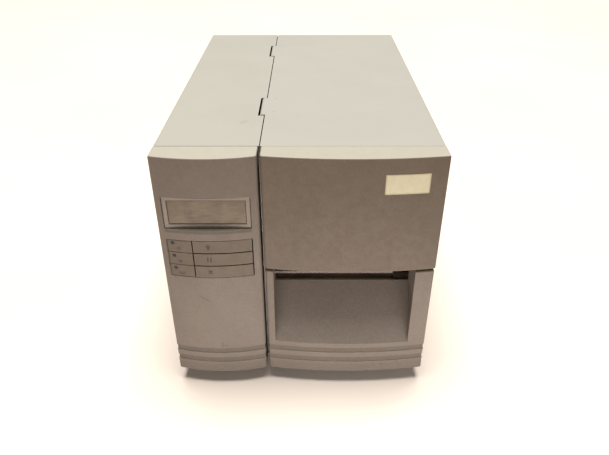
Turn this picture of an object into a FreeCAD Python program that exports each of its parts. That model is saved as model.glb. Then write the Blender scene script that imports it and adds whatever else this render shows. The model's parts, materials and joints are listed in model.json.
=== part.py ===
"""Thermal label printer with a hinged media cover, at its real size in millimetres.

+X is the printer's right, +Y its back and +Z is up. The origin lies on the table,
under the middle of the box around the whole printer.
"""
import FreeCAD, Part
import math
import os

V = FreeCAD.Vector

# Case
BODY_WIDTH = 250.0
SHELL_LENGTH = 395.0
FRONT_BOW = 6.2
REAR_REACH = 11.0
PANEL_HEIGHT = 241.0
GROUND_CLEARANCE = 16.0
SEAM_FROM_LEFT = 91.0
SEAM_GAP = 1.0
SHEET = 1.2
SHEET_BEND = 2.2
LEFT_SHEET_GAP = 0.7
COVER_SHEET_GAP = 0.3
BASE_SHEET = 1.5
TRAY_FLANGE = 16.0
REAR_FLANGE = 8.0

# Front panels
BEZEL_DEPTH = 19.0
PANEL_WALL = 3.0
EDGE_ROUND = 1.5
GAP_ROUND = 3.0
FRONT_HALF_GAP = 1.1
TONGUE = 6.0
GROOVE_DEPTH = 0.8
GROOVE_HEIGHT = 6.4
GROOVE_BASES = (13.8, 26.2)
COVER_BASE = 126.5
COVER_LIFT = 2.2
LOWER_STEP = 0.5

# Name badge and keys on the left front panel
BADGE_SIDE = 5.6
BADGE_WIDTH = 77.5
BADGE_BASE = 171.0
BADGE_HEIGHT = 32.6
BADGE_SINK = 0.8
BADGE_THICK = 1.4
BADGE_MARGIN = 4.4
KEY_SIDE = 5.5
KEY_FIELD_WIDTH = 77.7
KEY_BASE = 120.3
KEY_PITCH = 13.63
KEY_NAMES = ("cancel_key", "pause_key", "feed_key")
KEY_GAP = 1.1
KEY_CORNER = 1.0
KEY_BACK = 2.5
LAMP_COLUMN = 23.0
LAMP_WIDTH = 3.0
LAMP_HEIGHT = 2.4
LAMP_IN = 5.8
LAMP_DROP = 3.9
KEY_ROD = 1.5
KEY_ROD_BACK = 5.8
KEY_RING = 3.0
KEY_BOARD_BACK = 9.6
KEY_BOARD = 1.6

# Label exit in the lower front panel
EXIT_LEFT = 8.0
EXIT_WIDTH = 131.7
SILL = 37.7
CHUTE_TOP = 94.2
CHUTE_BACK = 26.0
CHUTE_THICK = 2.5
CHUTE_LEDGE = 0.2

# Cover hinges
HINGE_CENTRES = (115.0, 314.0)
KNUCKLE_LENGTH = 46.0
KNUCKLE = 2.4
HINGE_REACH = 2.9
HINGE_PIN = 1.0
EAR_THICK = 3.0
EAR_GAP = 0.4
HINGE_PLATE = 12.0
HINGE_PLATE_THICK = 1.5
NOTCH_SIDE = 1.4
NOTCH_FRONT = 2.6
NOTCH_BACK = 0.4

# Print mechanism
WALL_THICK = 2.0
WALL_DROP = 7.5
WALL_FOOT = 16.0
WALL_FOOT_FRONT = 40.0
WALL_FOOT_REAR = 5.0
CABLE_SLOT_BACK = 40.0
CABLE_SLOT_LENGTH = 30.0
CABLE_SLOT_HEIGHT = 12.0
CABLE_SLOT_CORNER = 4.0
LEVER_ROOM = 31.2
PLATE_FRONT_GAP = 4.0
PLATE_REAR = 12.0
PLATE_REAR_TOP = 16.0
PLATE_SHOULDER = 26.0
PLATE_TOP = 9.0
PLATE_FOOT_FRONT = 12.0
TEAR_DEPTH = 8.0
TEAR_SHEET = 1.5
TEAR_SKIRT = 22.0
TEAR_TOOTH = 1.2
TEAR_PITCH = 2.5
PLATEN_BACK = 48.0
PLATEN_UP = 95.0
PLATEN_RADIUS = 9.0
SHAFT_RADIUS = 4.0
BUSH_RADIUS = 6.5
BUSH_FLANGE = 1.5
BUSH_OUT = 2.0
HEAD_PIVOT_BACK = 60.0
HEAD_PIVOT_UP = 41.0
HEAD_LINE_GAP = 0.4
HEAD_HEIGHT = 29.6
HEAD_DEPTH = 34.0
HEAD_SIDE = 10.0
HEAD_EAR = 8.0
HEAD_KNEE = 12.0
HEAD_KNEE_LOW = 12.0
HEAD_KNEE_HIGH = 7.0
HEAD_SLOPE = 14.0
HEAD_ARM = 12.0
HEAD_PLATE_END = 20.0
HEAD_SLEEVE = 8.0
HEAD_SLEEVE_WALL = 2.5
BRACKET_SHEET = 2.0
LEVER_SHAFT = 5.0
LEVER_BACK = 15.0
LEVER_LENGTH = 42.0
LEVER_TILT = 40.0
LEVER_GAP = 3.0
LEVER_THICK = 9.0
LEVER_HUB = 4.0
LEVER_ARM = 12.0
LEVER_TIP = 7.5
LEVER_TIP_OUT = 6.0
LEVER_SHAFT_END = 2.0
CAM_RADIUS = 7.0
CAM_THROW = 4.0
CAM_PHASE = 50.0
CAM_WIDTH = 8.0
CAM_GAP = 0.3
PAD_HEIGHT = 1.0
PAD_SIDE = 2.0
PAD_HALF = 6.0

# Gear train and belt
GEAR_MODULE = 1.0
GEAR_WIDTH = 8.0
PLATEN_TEETH = 40
IDLER_SMALL_TEETH = 20
IDLER_LARGE_TEETH = 50
PINION_TEETH = 15
TOOTH_PLAY = 0.25
MESH_PLAY = 0.1
IDLER_LEAN = -25.0
MOTOR_LEAN = -40.0
IDLER_SHAFT = 3.0
PULLEY_WIDTH = 8.0
IDLER_PULLEY = 8.0
REWIND_PULLEY = 20.0
PULLEY_RIM = 2.2
PULLEY_RIM_THICK = 0.8
BELT_THICK = 1.4
BELT_GAP = 0.15
MOTOR_SIZE = 56.4
MOTOR_LENGTH = 50.0
MOTOR_SHAFT = 3.175
PILLAR_REACH = 36.0
PILLAR_LOW = 34.0
PILLAR_HIGH = 52.0
PILLAR_EDGE = 7.0

# Ribbon spindles
REWIND_BACK = 74.0
REWIND_DROP = 43.0
SUPPLY_BACK = 158.0
SUPPLY_DROP = 61.0
SPINDLE_RADIUS = 12.6
SPINDLE_LENGTH = 112.0
SPINDLE_FLANGE = 24.0
SPINDLE_STOP = 2.5
SPINDLE_POCKET = 12.0
SPRING_RADIUS = 7.0
SPRING_WIRE = 0.8
SPRING_TURNS = 5
SPRING_LENGTH = 14.0
BRAKE_NUT = 10.0
BRAKE_NUT_THICK = 7.0
BRAKE_GRIPS = 12
BRAKE_GRIP = 1.4
BRAKE_GRIP_OUT = 0.6
SUPPLY_INBOARD = 28.0

# Media path
PATH_RISE = 7.0
PATH_SHEET = 1.5
PATH_LENGTH = 70.0
PATH_APRON = 12.0
SENSOR_SLOT = 8.0
SENSOR_SLOT_END = 14.0
ROD_RADIUS = 2.5
GUIDE_ROLLER = 7.0
ROLLER_END_GAP = 3.0
SENSOR_WIDTH = 16.0
SENSOR_HALF = 9.0
SENSOR_DROP = 6.0
EDGE_GUIDE_WIDTH = 22.0
EDGE_GUIDE_GAP = 8.0
EDGE_GUIDE_FRONT = 6.0
EDGE_GUIDE_SHEET = 2.0
EDGE_GUIDE_HOOK = 8.0
FENCE_THICK = 3.0
FENCE_HEIGHT = 10.0
HANGER_FROM_REAR = 107.0
HANGER_TOP = 144.0
HANGER_RADIUS = 16.0
HANGER_DEPTH = 22.0
HANGER_LENGTH = 128.0
HANGER_PLATE = 48.0
HANGER_PLATE_THICK = 3.0
HANGER_STOP = 4.0
ROLL_GUIDE_RADIUS = 45.0
ROLL_GUIDE_THICK = 4.0
ROLL_GUIDE_FROM_END = 8.0
ROLL_GUIDE_HUB = 10.0
ROLL_GUIDE_HUB_WALL = 4.0

# Electronics and rear sockets
BOARD_SHEET = 1.6
BOARD_OFF_WALL = 16.0
BOARD_BASE = 82.0
BOARD_DROP = 30.0
BOARD_FRONT = 24.0
BOARD_REAR = 6.0
BOARD_HOLE = 6.0
BOARD_POST = 3.0
BOARD_PITCH = 30.0
CHIP_SIZE = 20.0
CHIP_THICK = 3.0
HEADER_LENGTH = 22.0
HEADER_HEIGHT = 8.0
CAN_RADIUS = 6.0
CAN_LENGTH = 18.0
CHOKE_LENGTH = 50.0
CHOKE_HEIGHT = 22.0
CHOKE_THICK = 16.0
SUPPLY_BOX_FRONT = 60.0
SUPPLY_BOX_REAR = 34.0
SUPPLY_BOX_HEIGHT = 52.0
SUPPLY_BOX_SIDE = 8.0
SUPPLY_BOX_WALL_GAP = 20.0
SUPPLY_SLOT_PITCH = 8.0
SUPPLY_SLOT = 4.0
SUPPLY_SLOT_END = 15.0
SUPPLY_SLOT_SIDE = 8.0
SUPPLY_SLOT_DEPTH = 3.0
INLET_WIDTH = 28.0
INLET_HEIGHT = 20.0
INLET_CAVITY = 16.0
INLET_FLANGE = 3.0
INLET_WALL = 2.0
INLET_BACK = 6.0
INLET_SIDE = 22.0
INLET_BASE = 30.0
ROCKER_STEP = 34.0
PORT_SIDE = 10.0
PORT_RIM = 6.5
PORT_END = 8.0
SERIAL_WIDTH = 10.0
SERIAL_HEIGHT = 19.0
SERIAL_DEPTH = 10.0
SERIAL_REACH = 7.0
PARALLEL_WIDTH = 11.0
PARALLEL_HEIGHT = 56.0
PARALLEL_DEPTH = 12.0
PARALLEL_BASE = 168.0
SERIAL_BASE = 104.0
ROCKER_WIDTH = 14.0
ROCKER_HEIGHT = 21.0
ROCKER_TILT = 8.0
ROCKER_WALL = 2.0
ROCKER_RIM = 4.0
ROCKER_DEPTH = 20.0
ROCKER_ROOM = 9.0
ROCKER_PIVOT = 1.5
FANFOLD_BASE = 34.0
FANFOLD_HEIGHT = 12.0
FANFOLD_WIDTH = 120.0
FOOT_RADIUS = 12.0
FOOT_INSET = 34.0
SCREW_HEAD = 3.2
SCREW_HEIGHT = 1.8

# Clearances
FIT_GAP = 0.2
MOVE_GAP = 0.4
RUN_GAP = 0.06
SEAT_GAP = 0.02

# Places worked out from the sizes above
LEFT = -BODY_WIDTH / 2
RIGHT = BODY_WIDTH / 2
BOTTOM = GROUND_CLEARANCE
TOP = BOTTOM + PANEL_HEIGHT
FRONT = FRONT_BOW - (FRONT_BOW + SHELL_LENGTH + REAR_REACH) / 2
REAR = FRONT + SHELL_LENGTH
BEZEL_BACK = FRONT + BEZEL_DEPTH
SEAM = LEFT + SEAM_FROM_LEFT
LEFT_EDGE = SEAM - SEAM_GAP / 2
COVER_EDGE = SEAM + SEAM_GAP / 2
LEFT_PANEL = (LEFT, SEAM - FRONT_HALF_GAP)
RIGHT_PANEL = (SEAM + FRONT_HALF_GAP, RIGHT)
REAR_FACE = REAR - SHEET - MOVE_GAP
REAR_INSIDE = REAR_FACE - SHEET
FLOOR = BOTTOM + BASE_SHEET
WALL_X1 = SEAM - FIT_GAP
WALL_X0 = WALL_X1 - WALL_THICK
OUT_X1 = RIGHT - LEVER_ROOM
OUT_X0 = OUT_X1 - WALL_THICK
HINGE_X = COVER_EDGE - HINGE_REACH
HINGE_Z = TOP - KNUCKLE
PLATEN_Y = FRONT + PLATEN_BACK
PLATEN_Z = BOTTOM + PLATEN_UP
PATH_Z = PLATEN_Z + PATH_RISE
PATH_Y0 = PLATEN_Y + PLATEN_RADIUS + 4.0
PATH_Y1 = PATH_Y0 + PATH_LENGTH
HEAD_BOTTOM = PLATEN_Z + PLATEN_RADIUS + HEAD_LINE_GAP
HEAD_TOP = HEAD_BOTTOM + HEAD_HEIGHT
HEAD_FRONT = PLATEN_Y - HEAD_DEPTH / 2 - 1.0
HEAD_X0 = WALL_X1 + HEAD_SIDE
HEAD_X1 = OUT_X0 - HEAD_SIDE
PIVOT_Y = PLATEN_Y + HEAD_PIVOT_BACK
PIVOT_Z = PLATEN_Z + HEAD_PIVOT_UP
CAM_DROP = CAM_RADIUS + CAM_THROW * math.cos(math.radians(CAM_PHASE))
LEVER_Y = PLATEN_Y + LEVER_BACK
LEVER_Z = HEAD_TOP + PAD_HEIGHT + CAM_GAP + CAM_DROP
CAM_STARTS = (HEAD_X0 + 30.0, HEAD_X1 - 30.0 - CAM_WIDTH)
REWIND_Y = FRONT + REWIND_BACK
REWIND_Z = TOP - REWIND_DROP
SUPPLY_Y = FRONT + SUPPLY_BACK
SUPPLY_Z = TOP - SUPPLY_DROP
ROLLER_Y = PATH_Y1 + 12.0
ROLLER_Z = PATH_Z - GUIDE_ROLLER
SENSOR_Y = PATH_Y0 + 24.0
SENSOR_Z = PATH_Z - 10.0
RIBBON_RODS = ((PLATEN_Y - 9.0, HEAD_TOP + 16.0), (PIVOT_Y + 20.0, PIVOT_Z - 8.0))
HANGER_Y = REAR - HANGER_FROM_REAR
HANGER_Z = BOTTOM + HANGER_TOP - HANGER_RADIUS
PULLEY_X1 = WALL_X0 - BUSH_OUT - MOVE_GAP
PULLEY_X0 = PULLEY_X1 - PULLEY_WIDTH
PLATEN_PLANE = (PULLEY_X0 - 1.0 - GEAR_WIDTH, PULLEY_X0 - 1.0)
MOTOR_PLANE = (PLATEN_PLANE[0] - 1.0 - GEAR_WIDTH, PLATEN_PLANE[0] - 1.0)
MOTOR_PLATE = (MOTOR_PLANE[0] - 2.0 - WALL_THICK, MOTOR_PLANE[0] - 2.0)
IDLER_STEP = GEAR_MODULE * (PLATEN_TEETH + IDLER_SMALL_TEETH) / 2 + MESH_PLAY
MOTOR_STEP = GEAR_MODULE * (IDLER_LARGE_TEETH + PINION_TEETH) / 2 + MESH_PLAY
IDLER_Y = PLATEN_Y + IDLER_STEP * math.cos(math.radians(IDLER_LEAN))
IDLER_Z = PLATEN_Z + IDLER_STEP * math.sin(math.radians(IDLER_LEAN))
MOTOR_Y = IDLER_Y + MOTOR_STEP * math.cos(math.radians(MOTOR_LEAN))
MOTOR_Z = IDLER_Z + MOTOR_STEP * math.sin(math.radians(MOTOR_LEAN))
PILLARS = (
    (PILLAR_REACH, -PILLAR_LOW),
    (-PILLAR_REACH, -PILLAR_LOW),
    (PILLAR_REACH, PILLAR_HIGH),
    (0.0, PILLAR_HIGH),
)
KEY_X0 = LEFT_PANEL[0] + KEY_SIDE
KEY_X1 = KEY_X0 + KEY_FIELD_WIDTH
KEY_Z0 = BOTTOM + KEY_BASE
KEY_Z1 = KEY_Z0 + KEY_PITCH * len(KEY_NAMES)
ROD_X = KEY_X0 + LAMP_COLUMN + 1.2
ROD_Y = FRONT + KEY_ROD_BACK
BOARD_Y = FRONT + KEY_BOARD_BACK
EXIT_X0 = RIGHT_PANEL[0] + EXIT_LEFT
EXIT_X1 = EXIT_X0 + EXIT_WIDTH
BADGE_X0 = LEFT_PANEL[0] + BADGE_SIDE
BADGE_X1 = BADGE_X0 + BADGE_WIDTH
BADGE_Z0 = BOTTOM + BADGE_BASE
BADGE_Z1 = BADGE_Z0 + BADGE_HEIGHT
BADGE_FLOOR = FRONT + BADGE_SINK
INLET_X = LEFT + INLET_SIDE
INLET_Z = BOTTOM + INLET_BASE
ROCKER_X = INLET_X + ROCKER_STEP
ROCKER_Z = INLET_Z
ROCKER_Y = REAR_FACE + 0.8
BOARD_X1 = WALL_X0 - BOARD_OFF_WALL
PORT_X = BOARD_X1 - BOARD_SHEET - PORT_SIDE
PARALLEL_Z = BOTTOM + PARALLEL_BASE
SERIAL_Z = BOTTOM + SERIAL_BASE


def box(x0, x1, y0, y1, z0, z1):
    """Block between six planes."""
    return Part.makeBox(x1 - x0, y1 - y0, z1 - z0, V(x0, y0, z0))


def rod_x(y, z, radius, x0, x1):
    """Round bar along X."""
    return Part.makeCylinder(radius, x1 - x0, V(x0, y, z), V(1, 0, 0))


def rod_y(x, z, radius, y0, y1):
    """Round bar along Y."""
    return Part.makeCylinder(radius, y1 - y0, V(x, y0, z), V(0, 1, 0))


def rod_z(x, y, radius, z0, z1):
    """Round bar along Z."""
    return Part.makeCylinder(radius, z1 - z0, V(x, y, z0), V(0, 0, 1))


def tube_x(y, z, radius, bore, x0, x1):
    """Round sleeve along X."""
    return rod_x(y, z, radius, x0, x1).cut(rod_x(y, z, bore, x0 - 1, x1 + 1))


def prism_x(points, x0, x1):
    """Outline in Y and Z, carried along X."""
    corners = [V(x0, y, z) for y, z in points]
    return Part.Face(Part.makePolygon(corners + corners[:1])).extrude(V(x1 - x0, 0, 0))


def prism_y(points, y0, y1):
    """Outline in X and Z, carried along Y."""
    corners = [V(x, y0, z) for x, z in points]
    return Part.Face(Part.makePolygon(corners + corners[:1])).extrude(V(0, y1 - y0, 0))


def prism_z(points, z0, z1):
    """Outline in X and Y, carried along Z."""
    corners = [V(x, y, z0) for x, y in points]
    return Part.Face(Part.makePolygon(corners + corners[:1])).extrude(V(0, 0, z1 - z0))


def fuse(*shapes):
    """One clean solid from pieces that meet."""
    return shapes[0].multiFuse(list(shapes[1:])).removeSplitter()


def group(solids):
    """Separate solids that share one node."""
    return Part.makeCompound(list(solids))


def along(edge, axis):
    """Whether an edge is straight and runs along the named axis."""
    run = edge.Vertexes[-1].Point - edge.Vertexes[0].Point
    parts = {"x": run.x, "y": run.y, "z": run.z}
    return abs(abs(parts[axis]) - edge.Length) < 1e-6


def rounded_block(x0, x1, y0, y1, z0, z1, radius, axis):
    """Block whose edges along one axis are rounded."""
    block = box(x0, x1, y0, y1, z0, z1)
    return block.makeFillet(radius, [edge for edge in block.Edges if along(edge, axis)])


def bow(span):
    """Middle, centre line and radius of the curved front between two side planes."""
    half = (span[1] - span[0]) / 2
    radius = (half * half + FRONT_BOW * FRONT_BOW) / (2 * FRONT_BOW)
    return (span[0] + span[1]) / 2, FRONT - FRONT_BOW + radius, radius


def bow_y(span, x, inset):
    """Where the curved front, set in by some depth, lies at one X."""
    middle, centre, radius = bow(span)
    return centre - math.sqrt((radius - inset) ** 2 - (x - middle) ** 2)


def bow_arc(span, inset, x0, x1, z):
    """Stretch of the curved front as an edge from x0 to x1."""
    stops = (x0, (x0 + x1) / 2, x1)
    points = [V(x, bow_y(span, x, inset), z) for x in stops]
    return Part.Arc(*points).toShape()


def bow_block(span, inset, back, z0, z1):
    """Upright block with the curved front, straight sides and a flat back."""
    x0, x1 = span[0] + inset, span[1] - inset
    front = bow_arc(span, inset, x0, x1, z0)
    left_front, right_front = front.Vertexes[0].Point, front.Vertexes[-1].Point
    left_back, right_back = V(x0, back, z0), V(x1, back, z0)
    outline = [
        front,
        Part.makeLine(right_front, right_back),
        Part.makeLine(right_back, left_back),
        Part.makeLine(left_back, left_front),
    ]
    return Part.Face(Part.Wire(outline)).extrude(V(0, 0, z1 - z0))


def panel_block(span, inset, z0, z1, gap_side):
    """Solid front panel with its corners and rims rounded."""
    block = bow_block(span, inset, BEZEL_BACK, z0, z1)
    uprights = [e for e in block.Edges if along(e, "z") and e.Vertexes[0].Point.y < BEZEL_BACK - 1]
    gap_edges = [e for e in uprights if gap_side * e.Vertexes[0].Point.x > gap_side * sum(span) / 2]
    other_edges = [e for e in uprights if gap_side * e.Vertexes[0].Point.x < gap_side * sum(span) / 2]
    block = block.makeFillet(GAP_ROUND, gap_edges)
    other_x = other_edges[0].Vertexes[0].Point.x
    corner = [e for e in block.Edges if along(e, "z") and abs(e.Vertexes[0].Point.x - other_x) < 1e-6]
    corner = [e for e in corner if e.Vertexes[0].Point.y < BEZEL_BACK - 1]
    block = block.makeFillet(EDGE_ROUND, corner)
    rims = [e for e in block.Edges if not along(e, "z") and e.CenterOfMass.y < BEZEL_BACK - 0.5]
    return block.makeFillet(EDGE_ROUND, rims)


def hollow(span, inset, z0, z1):
    """Space inside a front panel, open to the back."""
    return bow_block(span, inset + PANEL_WALL, BEZEL_BACK + 1, z0 + PANEL_WALL, z1 - PANEL_WALL)


def grooves(span, inset):
    """Two level grooves round the foot of a front panel."""
    rings = []
    for base in GROOVE_BASES:
        z0 = BOTTOM + base
        ring = bow_block(span, inset - 2, BEZEL_BACK + 1, z0, z0 + GROOVE_HEIGHT)
        core = bow_block(span, inset + GROOVE_DEPTH, BEZEL_BACK + 2, z0 - 1, z0 + GROOVE_HEIGHT + 1)
        rings.append(ring.cut(core))
    return rings


def foot_tab(x):
    """Lug behind a front panel that lies on the base tray."""
    return box(x - 8, x + 8, BEZEL_BACK - 6, BEZEL_BACK + 14, FLOOR, FLOOR + 2.5)


def tongue_top(x0, x1):
    """Lip on a front panel that slips under a top sheet."""
    return box(x0, x1, BEZEL_BACK - 2, BEZEL_BACK + TONGUE, TOP - PANEL_WALL, TOP - SHEET - FIT_GAP)


def left_front_panel():
    """Tall left panel with the badge pocket and the key window."""
    body = panel_block(LEFT_PANEL, 0, BOTTOM, TOP, 1)
    frame_back = FRONT + KEY_BACK
    front = FRONT - FRONT_BOW
    badge_frame = box(BADGE_X0 - 2, BADGE_X1 + 2, front, BADGE_FLOOR + 2, BADGE_Z0 - 2, BADGE_Z1 + 2)
    key_frame = box(KEY_X0 - 2, KEY_X1 + 2, front, frame_back, KEY_Z0 - 2, KEY_Z1 + 2)
    shell = body.cut(hollow(LEFT_PANEL, 0, BOTTOM, TOP))
    shell = shell.fuse([badge_frame.common(body), key_frame.common(body)])
    pocket = rounded_block(BADGE_X0, BADGE_X1, FRONT - 20, BADGE_FLOOR, BADGE_Z0, BADGE_Z1, 2.0, "y")
    window = rounded_block(KEY_X0, KEY_X1, FRONT - 20, frame_back + 1, KEY_Z0, KEY_Z1, KEY_CORNER, "y")
    shell = shell.cut([pocket, window] + grooves(LEFT_PANEL, 0))
    wall_y = front + PANEL_WALL / 2
    lugs = []
    for z0, z1 in ((KEY_Z0 - 5.5, KEY_Z0 - 0.5), (KEY_Z1 + 0.5, KEY_Z1 + 5.5)):
        lug = box(ROD_X - 4, ROD_X + 4, wall_y, ROD_Y + KEY_ROD + 1.2, z0, z1)
        lugs.append(lug.common(bow_block(LEFT_PANEL, PANEL_WALL / 2, BOARD_Y, BOTTOM, TOP)))
    for x in (KEY_X0 + 2, KEY_X1 - 2):
        for z in (KEY_Z0 - 3, KEY_Z1 + 3):
            post = rod_y(x, z, 2.5, wall_y, BOARD_Y)
            lugs.append(post.common(bow_block(LEFT_PANEL, PANEL_WALL / 2, BOARD_Y, BOTTOM, TOP)))
    side_lip = box(LEFT + SHEET + FIT_GAP, LEFT + PANEL_WALL, BEZEL_BACK - 2, BEZEL_BACK + TONGUE,
                   FLOOR + TRAY_FLANGE + 3, TOP - 8)
    lips = [side_lip, tongue_top(LEFT + 6, LEFT_PANEL[1] - 8)]
    tabs = [foot_tab(LEFT_PANEL[0] + 20), foot_tab(LEFT_PANEL[1] - 32)]
    shell = fuse(shell, *lugs, *lips, *tabs)
    return shell.cut(rod_z(ROD_X, ROD_Y, KEY_ROD + SEAT_GAP, KEY_Z0 - 8, KEY_Z1 + 8))


def lower_front_panel():
    """Lower right panel with the label exit and its sloping chute."""
    z1 = BOTTOM + COVER_BASE - COVER_LIFT
    body = panel_block(RIGHT_PANEL, LOWER_STEP, BOTTOM, z1, -1)
    shell = body.cut(hollow(RIGHT_PANEL, LOWER_STEP, BOTTOM, z1))
    mouth = box(EXIT_X0, EXIT_X1, FRONT - 20, BEZEL_BACK + 1, BOTTOM + SILL, z1 + 1)
    shell = shell.cut([mouth] + grooves(RIGHT_PANEL, LOWER_STEP))
    back = FRONT + CHUTE_BACK
    cheek_inset = LOWER_STEP + EDGE_ROUND / 2
    cheek_space = bow_block(RIGHT_PANEL, cheek_inset, back + CHUTE_THICK, BOTTOM, z1 - EDGE_ROUND)
    cheeks = []
    for x0, x1 in ((EXIT_X0 - PANEL_WALL, EXIT_X0), (EXIT_X1, EXIT_X1 + PANEL_WALL)):
        cheek = box(x0, x1, FRONT - 20, back + CHUTE_THICK, BOTTOM + SILL - 4, z1)
        cheeks.append(cheek.common(cheek_space))
    a, b = EXIT_X0 - PANEL_WALL / 2, EXIT_X1 + PANEL_WALL / 2
    low = BOTTOM + SILL
    inset = LOWER_STEP + CHUTE_LEDGE
    front = bow_arc(RIGHT_PANEL, inset, a, b, low)
    rear = bow_arc(RIGHT_PANEL, inset + CHUTE_THICK, a, b, low)
    ends = [Part.makeLine(front.Vertexes[k].Point, rear.Vertexes[k].Point) for k in (0, -1)]
    low_wire = Part.Wire(Part.__sortEdges__([front, ends[1], rear, ends[0]]))
    high = BOTTOM + CHUTE_TOP
    rim = [(a, back), (b, back), (b, back + CHUTE_THICK), (a, back + CHUTE_THICK)]
    corners = [V(x, y, high) for x, y in rim]
    high_wire = Part.makePolygon(corners + corners[:1])
    chute = Part.makeLoft([low_wire, high_wire], True, True)
    tabs = [foot_tab(RIGHT_PANEL[0] + 16), foot_tab(RIGHT_PANEL[1] - 14)]
    return fuse(shell, chute, *cheeks, *tabs)


def cover_front_bezel():
    """Plastic front of the media cover."""
    z0 = BOTTOM + COVER_BASE
    body = panel_block(RIGHT_PANEL, 0, z0, TOP, -1)
    shell = body.cut(hollow(RIGHT_PANEL, 0, z0, TOP))
    side_lip = box(RIGHT - PANEL_WALL, RIGHT - SHEET - FIT_GAP, BEZEL_BACK - 2, BEZEL_BACK + TONGUE,
                   z0 + PANEL_WALL, TOP - 8)
    return fuse(shell, side_lip, tongue_top(RIGHT_PANEL[0] + 8, RIGHT - 6))


def folded_sheet(x_edge, x_side, y_front, z_foot):
    """Top sheet folded down into one side, with a lip turned down at the back."""
    inward = 1 if x_side < x_edge else -1
    top = box(min(x_edge, x_side), max(x_edge, x_side), y_front, REAR, TOP - SHEET, TOP)
    face = x_side + inward * SHEET
    side = box(min(x_side, face), max(x_side, face), y_front, REAR, z_foot, TOP)
    sheet = fuse(top, side)
    outer = [e for e in sheet.Edges if along(e, "y") and abs(e.CenterOfMass.x - x_side) < 1e-6]
    outer = [e for e in outer if abs(e.CenterOfMass.z - TOP) < 1e-6]
    sheet = sheet.makeFillet(SHEET_BEND, outer)
    inner = [e for e in sheet.Edges if along(e, "y") and abs(e.CenterOfMass.x - face) < 1e-6]
    inner = [e for e in inner if abs(e.CenterOfMass.z - (TOP - SHEET)) < 1e-6]
    sheet = sheet.makeFillet(SHEET_BEND - SHEET, inner)
    lip_ends = (x_edge + inward * -1.0, x_side + inward * 4.0)
    lip = box(min(lip_ends), max(lip_ends), REAR - SHEET, REAR, TOP - REAR_FLANGE, TOP - SHEET / 2)
    return fuse(sheet, lip)


def knuckle_spans():
    """Start and end of each hinge knuckle along Y."""
    return [(FRONT + c - KNUCKLE_LENGTH / 2, FRONT + c + KNUCKLE_LENGTH / 2) for c in HINGE_CENTRES]


def left_cover():
    """Fixed sheet over the electronics, notched for the hinge tabs."""
    sheet = folded_sheet(LEFT_EDGE, LEFT, BEZEL_BACK + LEFT_SHEET_GAP, BOTTOM + 0.5)
    notch_x = HINGE_X - KNUCKLE - NOTCH_SIDE
    notches = [box(notch_x, SEAM, y0 - NOTCH_FRONT, y1 + NOTCH_BACK, TOP - 3, TOP + 1)
               for y0, y1 in knuckle_spans()]
    return sheet.cut(notches)


def media_cover():
    """Hinged sheet over the media bay, with tabs rolled round the hinge pins."""
    sheet = folded_sheet(COVER_EDGE, RIGHT, BEZEL_BACK + COVER_SHEET_GAP, BOTTOM + 0.5)
    tabs = []
    bores = []
    for y0, y1 in knuckle_spans():
        tabs.append(box(HINGE_X, COVER_EDGE + 1, y0, y1, TOP - SHEET, TOP))
        tabs.append(rod_y(HINGE_X, HINGE_Z, KNUCKLE, y0, y1))
        bores.append(rod_y(HINGE_X, HINGE_Z, HINGE_PIN + RUN_GAP, y0 - 1, y1 + 1))
    return fuse(sheet, *tabs).cut(bores)


def hinge_bracket(y0, y1):
    """Bracket on the centre wall with two slotted ears for one hinge pin."""
    ear_z = TOP - SHEET - FIT_GAP
    wall_top = TOP - WALL_DROP
    outer = HINGE_X - KNUCKLE
    ears = []
    for start in (y0 - EAR_GAP - EAR_THICK, y1 + EAR_GAP):
        end = start + EAR_THICK
        ears.append(box(outer, WALL_X0, start, end, wall_top - HINGE_PLATE, wall_top))
        ears.append(box(outer, HINGE_X + HINGE_PIN + 0.7, start, end, wall_top, ear_z))
    reach = EAR_GAP + EAR_THICK
    plate_x0 = WALL_X0 - HINGE_PLATE_THICK
    plate = box(plate_x0, WALL_X0, y0 - reach, y1 + reach, wall_top - HINGE_PLATE, wall_top)
    bracket = fuse(plate, *ears)
    slot_half = HINGE_PIN + SEAT_GAP
    slot = box(HINGE_X - slot_half, HINGE_X + slot_half, y0 - 9, y1 + 9, HINGE_Z, TOP)
    return bracket.cut([slot, rod_y(HINGE_X, HINGE_Z, slot_half, y0 - 9, y1 + 9)])


def hinge_pin(y0, y1):
    """Pin that lies in the ears and carries one knuckle."""
    reach = EAR_GAP + EAR_THICK - 0.2
    return rod_y(HINGE_X, HINGE_Z, HINGE_PIN, y0 - reach, y1 + reach)


def name_badge():
    """Bare plate in the pocket, with a raised rim round a flat field."""
    x0, x1 = BADGE_X0 + FIT_GAP, BADGE_X1 - FIT_GAP
    z0, z1 = BADGE_Z0 + FIT_GAP, BADGE_Z1 - FIT_GAP
    plate = rounded_block(x0, x1, BADGE_FLOOR - BADGE_THICK, BADGE_FLOOR, z0, z1, 1.8, "y")
    m = BADGE_MARGIN
    field_floor = BADGE_FLOOR - BADGE_THICK + 0.5
    field = rounded_block(x0 + m, x1 - m, BADGE_FLOOR - 3, field_floor, z0 + m, z1 - m, 0.8, "y")
    return plate.cut(field)


def key_space():
    """Block under the curved front that keys and lamp cells are cut from."""
    return bow_block(LEFT_PANEL, FIT_GAP, FRONT + KEY_BACK, KEY_Z0, KEY_Z1)


def lamp_places():
    """Middle of each lamp, from the lowest row up."""
    tops = [KEY_Z0 + KEY_PITCH * (row + 1) for row in range(len(KEY_NAMES))]
    return [(KEY_X0 + LAMP_IN, top - LAMP_DROP) for top in tops]


def lamp_hole(x, z, clearance, y0, y1):
    """Oblong of one lamp."""
    w, h = LAMP_WIDTH / 2 + clearance, LAMP_HEIGHT / 2 + clearance
    return box(x - w, x + w, y0, y1, z - h, z + h)


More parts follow.
